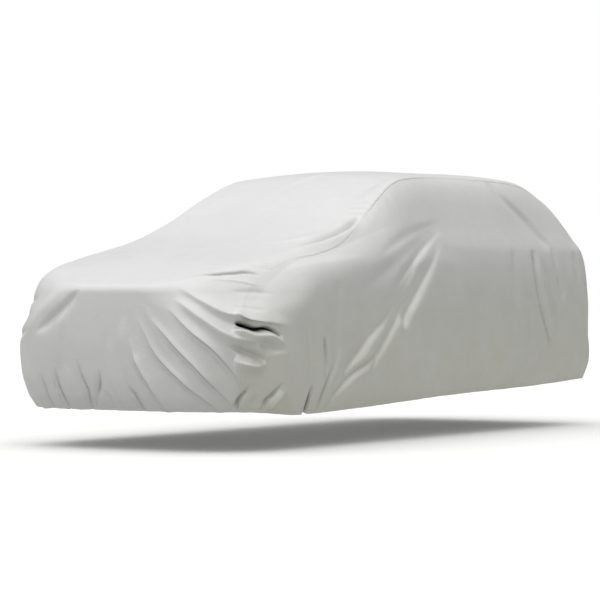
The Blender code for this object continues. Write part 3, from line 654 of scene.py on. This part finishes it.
def into_scene(name, mesh, material):
    """An object of a mesh in one material, put into the scene."""
    mesh.materials.append(material)
    thing = bpy.data.objects.new(name, mesh)
    bpy.context.scene.collection.objects.link(thing)
    return thing


def cloth_sheet(name, panel, facing_in, cloth):
    """A sheet of quads over a panel, with the flat cloth's own measures as its UV map."""
    rows, columns = panel["cloth"].shape[:2]
    numbers = np.arange(rows * columns).reshape(rows, columns)
    corners = [numbers[:-1, :-1], numbers[:-1, 1:], numbers[1:, 1:], numbers[1:, :-1]]
    faces = np.stack([corner.ravel() for corner in corners], axis=-1)
    if facing_in:
        faces = faces[:, ::-1]
    places = panel["cloth"].reshape(-1, 3) - np.array((0, HOLD_ALONG, HOLD_UP))
    mesh = bpy.data.meshes.new(name)
    mesh.from_pydata(places.tolist(), [], faces.tolist())
    mesh.update()
    loop_points = np.empty(len(mesh.loops), dtype=np.int32)
    mesh.loops.foreach_get("vertex_index", loop_points)
    flat = np.column_stack((panel["flat_across"].ravel(), panel["flat_along"].ravel()))[loop_points]
    mesh.uv_layers.new(name="flat_cloth").data.foreach_set("uv", flat.ravel().astype(np.float32))
    for mask in sorted(set(panel) - {"base", "normals", "cloth", "flat_across", "flat_along"}):
        attribute = mesh.attributes.new(mask, "FLOAT", "POINT")
        attribute.data.foreach_set("value", panel[mask].ravel().astype(np.float32))
    mesh.shade_smooth()
    return into_scene(name, mesh, cloth)


def add_node(tree, kind, inputs=None, **settings):
    """A new node with its settings, and its inputs set to values or joined to other nodes."""
    node = tree.nodes.new("ShaderNode" + kind)
    for setting, value in settings.items():
        setattr(node, setting, value)
    for socket, value in (inputs or {}).items():
        if isinstance(value, bpy.types.NodeSocket):
            tree.links.new(value, node.inputs[socket])
        else:
            node.inputs[socket].default_value = value
    return node


def math_node(tree, operation, *values):
    """The result of a Math node on sockets or numbers."""
    return add_node(tree, "Math", dict(enumerate(values)), operation=operation).outputs[0]


def map_range(tree, value, source, target=(0.0, 1.0), **settings):
    """A value carried from a source range to a target range."""
    inputs = {"Value": value, "From Min": source[0], "From Max": source[1]}
    inputs.update({"To Min": target[0], "To Max": target[1]})
    return add_node(tree, "MapRange", inputs, **settings).outputs["Result"]


NOISE_RANGE = (0.3, 0.7)


def noise_range(tree, place, size, detail, low, high):
    """Noise of a given size in metres, spread over a range of values."""
    cloud = add_node(tree, "TexNoise", {"Scale": 1 / size, "Detail": detail, "Vector": place})
    return map_range(tree, cloud.outputs["Fac"], NOISE_RANGE, (low, high))


def new_group(name, inputs, outputs):
    """An empty shader node group and the sockets at its two ends. An input of None is a place."""
    group = bpy.data.node_groups.new(name, "ShaderNodeTree")
    for socket, value in inputs.items():
        kind = "NodeSocketVector" if value is None else "NodeSocketFloat"
        made = group.interface.new_socket(socket, in_out="INPUT", socket_type=kind)
        if value is not None:
            made.default_value = value
    for socket in outputs:
        group.interface.new_socket(socket, in_out="OUTPUT", socket_type="NodeSocketFloat")
    start = group.nodes.new("NodeGroupInput").outputs
    end = group.nodes.new("NodeGroupOutput").inputs
    return group, start, end


# Plain weave: threads cross over and under at a fixed pitch, in the flat cloth's own measures.
WEAVE_PITCH = 0.0012
WEAVE_DEPTH = 0.00012

weave, start, end = new_group("plain_weave", {"Place": None, "Pitch": WEAVE_PITCH}, ("Height",))
split = add_node(weave, "SeparateXYZ", {0: start["Place"]}).outputs
turns = math_node(weave, "DIVIDE", math.pi, start["Pitch"])
warp = math_node(weave, "SINE", math_node(weave, "MULTIPLY", split["X"], turns))
weft = math_node(weave, "SINE", math_node(weave, "MULTIPLY", split["Y"], turns))
crossing = math_node(weave, "MULTIPLY", warp, weft)
weave.links.new(math_node(weave, "MULTIPLY_ADD", crossing, 0.5, 0.5), end["Height"])

# Crinkle: the coated cloth keeps small sharp creases from having been packed away.
CRINKLE_SIZE = 0.045
CRINKLE_DEPTH = 0.0009
CRINKLE_DETAIL = 3.0
CRINKLE_ROUGHNESS = 0.45

crinkle, start, end = new_group(
    "coating_crinkle", {"Place": None, "Size": CRINKLE_SIZE}, ("Height",)
)
cloud = add_node(crinkle, "TexNoise", {
    "Vector": start["Place"],
    "Scale": math_node(crinkle, "DIVIDE", 1.0, start["Size"]),
    "Detail": CRINKLE_DETAIL,
    "Roughness": CRINKLE_ROUGHNESS,
})
swing = math_node(crinkle, "MULTIPLY_ADD", cloud.outputs["Fac"], 2.0, -1.0)
away = math_node(crinkle, "ABSOLUTE", swing)
crinkle.links.new(math_node(crinkle, "SUBTRACT", 1.0, away), end["Height"])

# Pinch: a line drawn sharp by the pull of the cloth, gentle on its upper side and steep below it.
PINCH_HEIGHT = 0.009
PINCH_UPPER_WIDTH = 0.014
PINCH_LOWER_WIDTH = 0.006

pinch, start, end = new_group(
    "pinched_crest",
    {
        "Distance": 1.0,
        "Share": 0.0,
        "Upper width": PINCH_UPPER_WIDTH,
        "Lower width": PINCH_LOWER_WIDTH,
    },
    ("Height",),
)
above = math_node(pinch, "GREATER_THAN", start["Distance"], 0.0)
wider = math_node(pinch, "SUBTRACT", start["Upper width"], start["Lower width"])
width = math_node(pinch, "MULTIPLY_ADD", above, wider, start["Lower width"])
from_line = math_node(pinch, "ABSOLUTE", start["Distance"])
falling = math_node(pinch, "MULTIPLY", math_node(pinch, "DIVIDE", from_line, width), -1.0)
height = math_node(pinch, "MULTIPLY", math_node(pinch, "EXPONENT", falling), start["Share"])
pinch.links.new(height, end["Height"])

# Sewing: a row of thread stitches at a set distance from the seam, and one from the hem's edge.
STITCH_ROWS = (("seam", 0.0075), ("hem", 0.024))
STITCH_LENGTH = 0.0040
STITCH_SHARE = 0.72
THREAD_WIDTH = 0.0006
THREAD_DEPTH = 0.0006

sewing, start, end = new_group(
    "stitch_row",
    {
        "Distance": 0.0,
        "Run": 0.0,
        "Row place": STITCH_ROWS[0][1],
        "Stitch length": STITCH_LENGTH,
        "Thread width": THREAD_WIDTH,
    },
    ("Mask",),
)
to_row = math_node(sewing, "SUBTRACT", start["Distance"], start["Row place"])
from_row = math_node(sewing, "ABSOLUTE", to_row)
on_row = math_node(sewing, "LESS_THAN", from_row, start["Thread width"])
beats = math_node(sewing, "DIVIDE", start["Run"], start["Stitch length"])
on_stitch = math_node(sewing, "LESS_THAN", math_node(sewing, "FRACT", beats), STITCH_SHARE)
sewing.links.new(math_node(sewing, "MULTIPLY", on_row, on_stitch), end["Mask"])

# Mottle: slight changes of tone from the coating and handling, and towards the hem outdoor dust
# with a painted olive reflection of the ground mixed into it.
# Each cloud of it is (size, detail, lowest, highest).
TONE_CLOUDS = ((0.60, 2.0, 0.975, 1.02), (0.07, 4.0, 0.985, 1.012), (0.004, 2.0, 0.985, 1.015))
DUST_AND_REFLECTION_CLOUD = (0.16, 5.0, 0.35, 1.0)
DUST_AND_REFLECTION_REACH = 0.90

mottle, start, end = new_group(
    "coating_mottle", {"Place": None, "Hem distance": 1.0}, ("Tone", "Dust and reflection")
)
wide, close, fine = (noise_range(mottle, start["Place"], *cloud) for cloud in TONE_CLOUDS)
tones = math_node(mottle, "MULTIPLY", math_node(mottle, "MULTIPLY", wide, close), fine)
mottle.links.new(tones, end["Tone"])
# Dust and painted olive ground reflection: patchy, and fading out upwards from the hem.
near_hem = map_range(
    mottle, start["Hem distance"], (0.0, DUST_AND_REFLECTION_REACH), (1.0, 0.0), interpolation_type="SMOOTHSTEP"
)
patchy_dust_and_reflection = noise_range(mottle, start["Place"], *DUST_AND_REFLECTION_CLOUD)
mottle.links.new(math_node(mottle, "MULTIPLY", patchy_dust_and_reflection, near_hem), end["Dust and reflection"])

CLOTH_COLOUR = (0.73, 0.735, 0.735)
CLOTH_FINISH = {
    "Metallic": 0.30,
    "Specular IOR Level": 0.5,
    "Sheen Weight": 0.12,
    "Sheen Roughness": 0.4,
}
GLOSS_CLOUD = (0.11, 3.0, 0.36, 0.46)
THREAD_COLOUR = (0.60, 0.61, 0.60, 1.0)
# Olive colour of the dust near the hem, which also paints in the reflection of an olive ground.
DUST_AND_GROUND_REFLECTION_COLOUR = (0.62, 0.62, 0.49, 1.0)
# Near-black painted shade, laid into the deepest folds and, in part, along the trough lines.
PAINTED_SHADE_COLOUR = (0.035, 0.035, 0.03, 1.0)
PAINTED_FOLD_SHADE_RANGE = (0.15, 0.50)
TROUGH_SHADE = 0.55


def coated_cloth(name, dust_and_reflection_strength, crests=(), troughs=()):
    """The grey coated cloth: weave, crinkle, tone, dusting with a painted olive ground reflection
    near the hem, painted shade in deep folds and along trough lines, sharp lines and sewing at the
    edges.
    """
    material = bpy.data.materials.new(name)
    material.use_nodes = True
    tree = material.node_tree
    shader = tree.nodes["Principled BSDF"].inputs
    for socket, value in CLOTH_FINISH.items():
        shader[socket].default_value = value

    def mask(attribute):
        return add_node(tree, "Attribute", attribute_name=attribute).outputs["Fac"]

    def placed(group, inputs):
        return add_node(tree, "Group", inputs, node_tree=group).outputs

    flat = add_node(tree, "UVMap", uv_map="flat_cloth").outputs["UV"]
    place = add_node(tree, "TexCoord").outputs["Object"]
    tone = placed(mottle, {"Place": place, "Hem distance": mask("hem_distance")})
    rows = []
    for edge, row in STITCH_ROWS:
        run = mask(edge + "_run")
        inputs = {"Distance": mask(edge + "_distance"), "Run": run, "Row place": row}
        rows.append(placed(sewing, inputs)["Mask"])
    thread = math_node(tree, "MAXIMUM", *rows)
    lines = {}
    for line in crests + troughs:
        inputs = {"Distance": mask(line), "Share": mask(line + "_share")}
        lines[line] = placed(pinch, inputs)["Height"]

    inputs = {0: CLOTH_COLOUR, "Scale": tone["Tone"]}
    colour = add_node(tree, "VectorMath", inputs, operation="SCALE").outputs["Vector"]
    # Dust near the hem, with a painted olive ground reflection in it.
    dust_and_reflection = math_node(tree, "MULTIPLY", tone["Dust and reflection"], dust_and_reflection_strength)
    # Painted shade: the cloth darkens to near black inside the deepest folds.
    painted_fold_shade_share = map_range(tree, mask("folded_in"), PAINTED_FOLD_SHADE_RANGE, interpolation_type="SMOOTHSTEP")
    covers = [(dust_and_reflection, DUST_AND_GROUND_REFLECTION_COLOUR), (thread, THREAD_COLOUR), (painted_fold_shade_share, PAINTED_SHADE_COLOUR)]
    # Painted shade along each trough line, as well as its bump.
    for line in troughs:
        covers.append((math_node(tree, "MULTIPLY", lines[line], TROUGH_SHADE), PAINTED_SHADE_COLOUR))
    for share, cover in covers:
        inputs = {"Fac": share, "Color1": colour, "Color2": cover}
        colour = add_node(tree, "MixRGB", inputs).outputs["Color"]
    tree.links.new(colour, shader["Base Color"])
    tree.links.new(noise_range(tree, place, *GLOSS_CLOUD), shader["Roughness"])

    crinkled = placed(crinkle, {"Place": place, "Size": CRINKLE_SIZE})["Height"]
    woven = placed(weave, {"Place": flat, "Pitch": WEAVE_PITCH})["Height"]
    heights = [(crinkled, CRINKLE_DEPTH), (woven, WEAVE_DEPTH), (thread, THREAD_DEPTH)]
    for line, height in lines.items():
        heights.append((height, -PINCH_HEIGHT if line in troughs else PINCH_HEIGHT))
    normal = None
    for height, depth in heights:
        bump = add_node(tree, "Bump", {"Height": height, "Distance": abs(depth)}, invert=depth < 0)
        if normal is not None:
            tree.links.new(normal, bump.inputs["Normal"])
        normal = bump.outputs["Normal"]
    tree.links.new(normal, shader["Normal"])
    return material


# The centre panel's rows run from the nose hem to the tail hem, and its columns from right to left.
nose, top, tail = seam_runs()
left_edge = np.concatenate((nose[::-1], top[1:], tail[1:]))
across = ACROSS_SHARES[None, :, None]
base = throw_onto_shape((1 - across) * mirrored(left_edge)[:, None] + across * left_edge[:, None])
flat_across = arcs(base, 1)
flat_along = arcs(base, 0)
seam_run = np.abs(flat_along[:, -1:] - flat_along[len(nose) - 1, -1])
centre = {
    "base": base,
    "flat_across": flat_across,
    "flat_along": flat_along,
    "seam_distance": np.minimum(flat_across, flat_across[:, -1:] - flat_across),
    "seam_run": np.broadcast_to(seam_run, flat_across.shape),
    "hem_distance": np.minimum(flat_along, flat_along[-1:] - flat_along),
    "hem_run": flat_across,
}
centre_crests = {"pulls": (FIRST_PULL, SECOND_PULL, THIRD_PULL), "corner_pull": (CORNER_PULL,)}
# The puckers are bumped in and also darkened with painted shade.
centre_troughs = {"puckers": (DECK_LINE,) + HEM_PUCKERS}
drape(centre, CENTRE_CREASES, slack=0.0015, pinches={**centre_crests, **centre_troughs})
centre = turn_hem(flipped(turn_hem(centre)))
centre_cloth = coated_cloth(
    "centre_panel_coated_cloth",
    dust_and_reflection_strength=0.06,
    crests=tuple(centre_crests),
    troughs=tuple(centre_troughs),
)
centre_panel = cloth_sheet("centre_panel_cloth", flipped(centre), False, centre_cloth)
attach(centre_panel, "root")
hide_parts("centre_panel")

# ---------------------------------------------------------------------------------------------
# Left side panel: the same coated cloth, cut to the outline of the side, from the seam down to the
# turned hem. It hangs from the top edge and is drawn in at the nose corner, where it piles up in
# folds; long pulls run down from the top of the slope, and short ones hang below the belt line.

# The sides carry more of the dust and painted olive ground reflection than the centre panel.
SIDE_DUST_AND_REFLECTION = 0.60
SIDE_SLACK = 0.003
SIDE_HEM = (
    (0.72, 0.28, 0.23), (0.84, 0.42, 0.22), (0.89, 0.70, 0.21), (0.92, 1.20, 0.21),
    (0.92, 2.20, 0.25), (0.92, 3.20, 0.28), (0.92, 3.80, 0.30), (0.86, 4.15, 0.32),
    (0.69, 4.32, 0.33),
)
LEFT_CREASES = (
    # Small folds under the tuck and behind the nose corner.
    (0.012, 0.02, 0.02, 1.6,
     ((0.82, 0.25, 0.66, 0), (0.84, 0.27, 0.629, 0.9), (0.86, 0.3, 0.589, 1), (0.88, 0.34, 0.549, 1),
      (0.89, 0.36, 0.53, 0))),
    (-0.014, 0.022, 0.026, 2.0,
     ((0.85, 0.29, 0.65, 0), (0.89, 0.35, 0.615, 1), (0.92, 0.43, 0.585, 0))),
    (0.012, 0.018, 0.03, 1.8,
     ((0.88, 0.34, 0.55, 0), (0.91, 0.42, 0.56, 1), (0.93, 0.52, 0.57, 0))),
    (-0.044, 0.012, 0.014, 1.5,
     ((0.91, 0.47, 0.4, 0), (0.9, 0.45, 0.363, 0.6), (0.88, 0.42, 0.325, 1), (0.85, 0.39, 0.285, 1),
      (0.83, 0.39, 0.255, 0.5), (0.82, 0.39, 0.235, 0))),
    (0.022, 0.014, 0.022, 1.4,
     ((0.91, 0.52, 0.36, 0), (0.89, 0.47, 0.315, 1), (0.86, 0.44, 0.265, 1), (0.84, 0.43, 0.23, 0))),
    (-0.012, 0.026, 0.026, 2.0,
     ((0.84, 0.32, 0.34, 0), (0.81, 0.32, 0.29, 1), (0.79, 0.33, 0.25, 0.6), (0.78, 0.33, 0.22, 0))),
    # The slit in the hem, and the upright creases beside it.
    (-0.11, 0.017, 0.017, 2.0,
     ((0.92, 0.77, 0.375, 0), (0.91, 0.768, 0.345, 0.4), (0.895, 0.765, 0.295, 0.8),
      (0.88, 0.765, 0.25, 0.9), (0.87, 0.765, 0.19, 0.8)), 0.04),
    (-0.007, 0.03, 0.03, 2.0,
     ((0.93, 0.7, 0.72, 0), (0.93, 0.72, 0.58, 1), (0.93, 0.74, 0.48, 1), (0.92, 0.76, 0.36, 0))),
    (-0.02, 0.014, 0.012, 1.4,
     ((0.93, 0.875, 0.67, 0), (0.93, 0.89, 0.61, 0.9), (0.93, 0.91, 0.51, 1), (0.92, 0.91, 0.44, 0.6),
      (0.91, 0.91, 0.36, 0))),
    (0.018, 0.018, 0.034, 1.7,
     ((0.93, 1.13, 0.68, 0), (0.93, 1.09, 0.6, 0.4), (0.93, 1.03, 0.5, 1), (0.92, 0.96, 0.37, 0.8),
      (0.9, 0.93, 0.28, 0.3), (0.88, 0.92, 0.23, 0))),
    (-0.016, 0.012, 0.014, 1.4,
     ((0.93, 1.0, 0.53, 0), (0.92, 0.95, 0.42, 1), (0.9, 0.9, 0.32, 0.9), (0.88, 0.87, 0.25, 0))),
    (-0.014, 0.05, 0.055, 2.0,
     ((0.93, 1.04, 1.0, 0), (0.93, 1.04, 0.92, 0.5), (0.93, 1.02, 0.8, 1), (0.93, 1.01, 0.7, 0.7),
      (0.93, 1.0, 0.56, 0))),
    # Long pulls from the head of the slope, down and forward across the side.
    (-0.007, 0.03, 0.036, 2.0,
     ((0.8, 2.42, 1.38, 0), (0.82, 2.2, 1.32, 0.7), (0.83, 2.04, 1.28, 1), (0.86, 1.79, 1.21, 0.8),
      (0.89, 1.58, 1.14, 0))),
    (-0.011, 0.06, 0.05, 1.8,
     ((0.8, 2.46, 1.36, 0), (0.84, 2.2, 1.27, 1), (0.89, 1.85, 1.13, 1), (0.91, 1.58, 1.03, 0.8),
      (0.93, 1.32, 0.93, 0))),
    (-0.015, 0.022, 0.038, 1.7,
     ((0.82, 2.42, 1.31, 0), (0.85, 2.22, 1.22, 0.5), (0.88, 2.08, 1.16, 1), (0.91, 1.86, 1.03, 1),
      (0.93, 1.64, 0.87, 0))),
    (-0.012, 0.025, 0.05, 1.8,
     ((0.91, 2.0, 1.11, 0), (0.92, 1.88, 1.0, 1), (0.93, 1.75, 0.9, 1), (0.93, 1.64, 0.8, 0))),
    (-0.034, 0.03, 0.08, 1.6,
     ((0.84, 2.38, 1.27, 0), (0.86, 2.3, 1.18, 0.1), (0.92, 2.08, 1.0, 0.7), (0.93, 1.94, 0.87, 1),
      (0.93, 1.83, 0.76, 1), (0.93, 1.79, 0.68, 0))),
    (-0.026, 0.026, 0.07, 1.6,
     ((0.93, 1.9, 0.94, 0), (0.93, 1.8, 0.83, 0.8), (0.93, 1.7, 0.73, 1), (0.93, 1.58, 0.61, 1),
      (0.93, 1.49, 0.52, 0.8), (0.92, 1.42, 0.42, 0))),
    (-0.04, 0.034, 0.1, 1.6,
     ((0.93, 1.7, 0.86, 0), (0.93, 1.58, 0.74, 0.8), (0.93, 1.43, 0.65, 1), (0.93, 1.3, 0.55, 1),
      (0.93, 1.19, 0.47, 1), (0.92, 1.08, 0.36, 0))),
    (-0.03, 0.026, 0.024, 1.7,
     ((0.93, 1.52, 0.56, 0), (0.93, 1.4, 0.49, 0.7), (0.92, 1.27, 0.44, 1), (0.91, 1.16, 0.38, 1),
      (0.9, 1.05, 0.31, 1), (0.88, 0.98, 0.24, 0.3), (0.87, 0.96, 0.21, 0.1))),
    (-0.012, 0.06, 0.06, 2.0,
     ((0.93, 1.1, 0.62, 0), (0.93, 1.22, 0.72, 1), (0.93, 1.35, 0.81, 1), (0.93, 1.54, 0.9, 0))),
    # The belt line, and the folds that hang from it.
    (0.01, 0.1, 0.075, 2.0,
     ((0.83, 2.3, 1.23, 0), (0.86, 2.6, 1.21, 1), (0.86, 3.2, 1.205, 1), (0.86, 3.7, 1.2, 1),
      (0.84, 4.12, 1.19, 0.8), (0.78, 4.28, 1.18, 0))),
    (-0.044, 0.028, 0.016, 1.5, TAIL_LINE),
    (0.014, 0.016, 0.018, 1.6,
     ((0.87, 3.6, 1.17, 0), (0.9, 3.59, 1.113, 0.7), (0.92, 3.61, 0.979, 1), (0.93, 3.66, 0.859, 1),
      (0.93, 3.7, 0.738, 0.7), (0.93, 3.74, 0.64, 0))),
    (-0.016, 0.04, 0.018, 1.6,
     ((0.88, 3.66, 1.15, 0), (0.92, 3.69, 1.03, 0.8), (0.93, 3.73, 0.93, 1), (0.93, 3.78, 0.8, 0.6),
      (0.93, 3.81, 0.7, 0))),
    (-0.02, 0.03, 0.016, 1.5,
     ((0.86, 3.84, 1.22, 0), (0.88, 3.83, 1.165, 0.8), (0.91, 3.83, 1.074, 1), (0.92, 3.86, 0.94, 1),
      (0.93, 3.9, 0.82, 0))),
    (-0.012, 0.06, 0.04, 2.0,
     ((0.87, 3.29, 1.22, 0), (0.89, 3.26, 1.14, 0.6), (0.92, 3.23, 0.98, 1), (0.93, 3.25, 0.83, 0.7),
      (0.93, 3.31, 0.68, 0))),
    (-0.016, 0.05, 0.03, 2.0,
     ((0.87, 4.14, 1.2, 0), (0.89, 4.13, 1.12, 0.8), (0.91, 4.13, 1.02, 1), (0.93, 4.17, 0.86, 1),
      (0.93, 4.2, 0.7, 0))),
    (-0.006, 0.03, 0.03, 2.0,
     ((0.93, 3.41, 0.92, 0), (0.93, 3.41, 0.75, 1), (0.93, 3.42, 0.52, 1), (0.93, 3.43, 0.38, 0))),
)


def side_panel(own_creases, side, pinches):
    """A side panel, rows from the seam down to the hem, columns from the nose back to the tail."""
    nose, top, tail = seam_runs()
    hem = run_points(SIDE_HEM, TOP_SHARES)
    hem[:, 2] = smooth_through(HEM, 1, hem[:, 1])
    hem[0] = nose[-1]
    hem[-1] = tail[-1]
    down = WALL_SHARES[:, None, None]
    back = TOP_SHARES[None, :, None]
    between_edges = (1 - down) * top[None] + down * hem[None]
    between_ends = (1 - back) * nose[:, None] + back * tail[:, None]
    corners = (1 - down) * ((1 - back) * top[0] + back * top[-1])
    corners = corners + down * ((1 - back) * hem[0] + back * hem[-1])
    guides = (between_edges + between_ends - corners) * np.array((side, 1, 1))
    base = throw_onto_shape(guides)
    flat_down = arcs(base, 0)
    flat_back = arcs(base, 1)
    from_seams = np.stack((flat_down, flat_back, flat_back[:, -1:] - flat_back))
    top_run = np.broadcast_to(flat_back[:1], flat_down.shape)
    nose_run = np.broadcast_to(flat_down[:, :1], flat_down.shape)
    tail_run = np.broadcast_to(flat_back[0, -1] - flat_down[:, -1:], flat_down.shape)
    runs = np.stack((top_run, nose_run, tail_run))
    nearest = np.argmin(from_seams, axis=0)[None]
    panel = {
        "base": base,
        "flat_across": flat_back,
        "flat_along": flat_down,
        "seam_distance": from_seams.min(axis=0),
        "seam_run": np.take_along_axis(runs, nearest, axis=0)[0],
        "hem_distance": flat_down[-1:] - flat_down,
        "hem_run": np.broadcast_to(flat_back[-1:], flat_back.shape),
    }
    drape(panel, own_creases, SIDE_SLACK, pinches)
    return turn_hem(panel)


# The tucks are bumped in and also darkened with painted shade.
left_troughs = {"tucks": (TAIL_LINE, UPRIGHT_LINE, REAR_LINE)}
left = side_panel(LEFT_CREASES, 1, left_troughs)
left_cloth = coated_cloth("left_side_panel_coated_cloth", SIDE_DUST_AND_REFLECTION, troughs=tuple(left_troughs))
left_side = cloth_sheet("left_side_panel_cloth", left, True, left_cloth)
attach(left_side, "root")
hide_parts("left_side_panel")

# ---------------------------------------------------------------------------------------------
# Right side panel: the left one's twin, cut from the same coated cloth and sewn on in the same way.
# Its folds fell another way, with broad pulls from the slope and from the nose corner.

RIGHT_CREASES = (
    (0.03, 0.055, 0.055, 2.0,
     ((-0.93, 1.1, 0.92, 0), (-0.93, 1.0, 0.72, 1), (-0.92, 0.9, 0.5, 1), (-0.88, 0.8, 0.21, 1))),
    (-0.03, 0.055, 0.065, 1.8,
     ((-0.8, 2.36, 1.36, 0), (-0.86, 2.1, 1.24, 1), (-0.92, 1.7, 1.0, 1), (-0.93, 1.44, 0.86, 0))),
    (0.036, 0.05, 0.055, 1.8,
     ((-0.88, 2.38, 1.18, 0), (-0.92, 2.18, 1.0, 1), (-0.93, 2.0, 0.8, 1), (-0.93, 1.84, 0.56, 0))),
    (0.032, 0.05, 0.055, 1.8,
     ((-0.93, 1.68, 0.74, 0), (-0.93, 1.54, 0.6, 1), (-0.91, 1.38, 0.4, 1), (-0.88, 1.26, 0.22, 1))),
    (-0.03, 0.035, 0.04, 1.8,
     ((-0.88, 3.44, 1.2, 0), (-0.92, 3.5, 1.0, 1), (-0.93, 3.56, 0.8, 1), (-0.93, 3.62, 0.48, 0))),
    (-0.018, 0.08, 0.08, 2.0,
     ((-0.92, 2.92, 1.08, 0), (-0.93, 2.87, 0.86, 1), (-0.93, 2.86, 0.62, 1), (-0.92, 2.9, 0.36, 0))),
    (-0.016, 0.02, 0.022, 1.7,
     ((-0.93, 1.96, 0.62, 0), (-0.92, 1.86, 0.44, 1), (-0.9, 1.8, 0.23, 1))),
    (0.012, 0.06, 0.07, 1.8,
     ((-0.83, 2.3, 1.23, 0), (-0.86, 2.6, 1.21, 1), (-0.86, 3.6, 1.2, 1), (-0.8, 4.22, 1.18, 0))),
)

right = side_panel(RIGHT_CREASES, -1, {})
right_cloth = coated_cloth("right_side_panel_coated_cloth", SIDE_DUST_AND_REFLECTION)
right_side = cloth_sheet("right_side_panel_cloth", right, False, right_cloth)
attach(right_side, "root")
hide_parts("right_side_panel")

# ---------------------------------------------------------------------------------------------
# The studio: a plain pale floor under an even, cloudy sky, and the camera at the photo's angle. The
# floor shows white, and throws a dull, even glow up onto the cloth in place of its own bounced
# light. The sky is brightest overhead, brighter towards the front and the right than behind and on
# the left, and slightly yellow on the left.

FLOOR_HALF = 60.0
FLOOR_SHOWN = (1.0, 1.0, 1.0, 1.0)
FLOOR_THROWN = (0.14, 0.14, 0.12, 1.0)
FLOOR_GLOW = (0.99, 0.995, 0.985, 1.0)
FLOOR_GLOW_STRENGTH = 0.362
SKY_LOW = 0.22
SKY_HIGH = 1.31
SKY_BRIGHT_SIDE = (-0.15, -0.165, 0.0)
SKY_COLOUR = (1.0, 1.0, 1.0, 1.0)
SKY_LEFT_COLOUR = (1.0, 1.0, 0.94, 1.0)
CAMERA_PLACE = (9.722, -15.943, -0.747)
CAMERA_TILT = 0.34
CAMERA_TURN = 32.53
CAMERA_LENS = 168.0
CAMERA_SHIFT = (-20.9 / 600, 1.9 / 600)
CAMERA_REACH = 200.0

floor_mesh = bpy.data.meshes.new("floor")
floor_sides = ((-1, -1), (1, -1), (1, 1), (-1, 1))
floor_corners = [(FLOOR_HALF * x, FLOOR_HALF * y, -HOLD_UP) for x, y in floor_sides]
floor_mesh.from_pydata(floor_corners, [], [(0, 1, 2, 3)])
floor_material = bpy.data.materials.new("pale_floor")
floor_material.use_nodes = True
tree = floor_material.node_tree
tree.nodes.clear()
shown = add_node(tree, "BsdfDiffuse", {"Color": FLOOR_SHOWN}).outputs[0]
thrown = add_node(tree, "BsdfDiffuse", {"Color": FLOOR_THROWN}).outputs[0]
glow = add_node(tree, "Emission", {"Color": FLOOR_GLOW, "Strength": FLOOR_GLOW_STRENGTH}).outputs[0]
unseen = add_node(tree, "AddShader", {0: thrown, 1: glow}).outputs[0]
seen = add_node(tree, "LightPath").outputs["Is Camera Ray"]
choose = add_node(tree, "MixShader", {0: seen, 1: unseen, 2: shown}).outputs[0]
add_node(tree, "OutputMaterial", {"Surface": choose})
floor = into_scene("floor", floor_mesh, floor_material)

sky = bpy.data.worlds.new("cloudy_sky")
sky.use_nodes = True
tree = sky.node_tree
way = add_node(tree, "TexCoord").outputs["Generated"]
ways = add_node(tree, "SeparateXYZ", {0: way}).outputs
upward = math_node(tree, "MAXIMUM", ways["Z"], 0.0)
overhead = math_node(tree, "MULTIPLY_ADD", upward, SKY_HIGH, SKY_LOW)
sideways = add_node(tree, "VectorMath", {0: way, 1: SKY_BRIGHT_SIDE}, operation="DOT_PRODUCT")
leftward = math_node(tree, "MAXIMUM", ways["X"], 0.0)
tint = add_node(tree, "MixRGB", {"Fac": leftward, "Color1": SKY_COLOUR, "Color2": SKY_LEFT_COLOUR})
background = tree.nodes["Background"]
strength = math_node(tree, "ADD", overhead, sideways.outputs["Value"])
tree.links.new(strength, background.inputs["Strength"])
tree.links.new(tint.outputs["Color"], background.inputs["Color"])
white = add_node(tree, "Background", {"Color": SKY_COLOUR}).outputs[0]
seen = add_node(tree, "LightPath").outputs["Is Camera Ray"]
choose = add_node(tree, "MixShader", {0: seen, 1: background.outputs[0], 2: white}).outputs[0]
tree.links.new(choose, tree.nodes["World Output"].inputs["Surface"])
bpy.context.scene.world = sky
bpy.context.scene.view_settings.view_transform = "Standard"

camera_data = bpy.data.cameras.new("camera")
camera_data.lens = CAMERA_LENS
camera_data.shift_x, camera_data.shift_y = CAMERA_SHIFT
camera_data.clip_end = CAMERA_REACH
camera = bpy.data.objects.new("camera", camera_data)
camera.location = CAMERA_PLACE
camera.rotation_euler = (math.radians(90 - CAMERA_TILT), 0, math.radians(CAMERA_TURN))
bpy.context.scene.collection.objects.link(camera)
bpy.context.scene.camera = camera
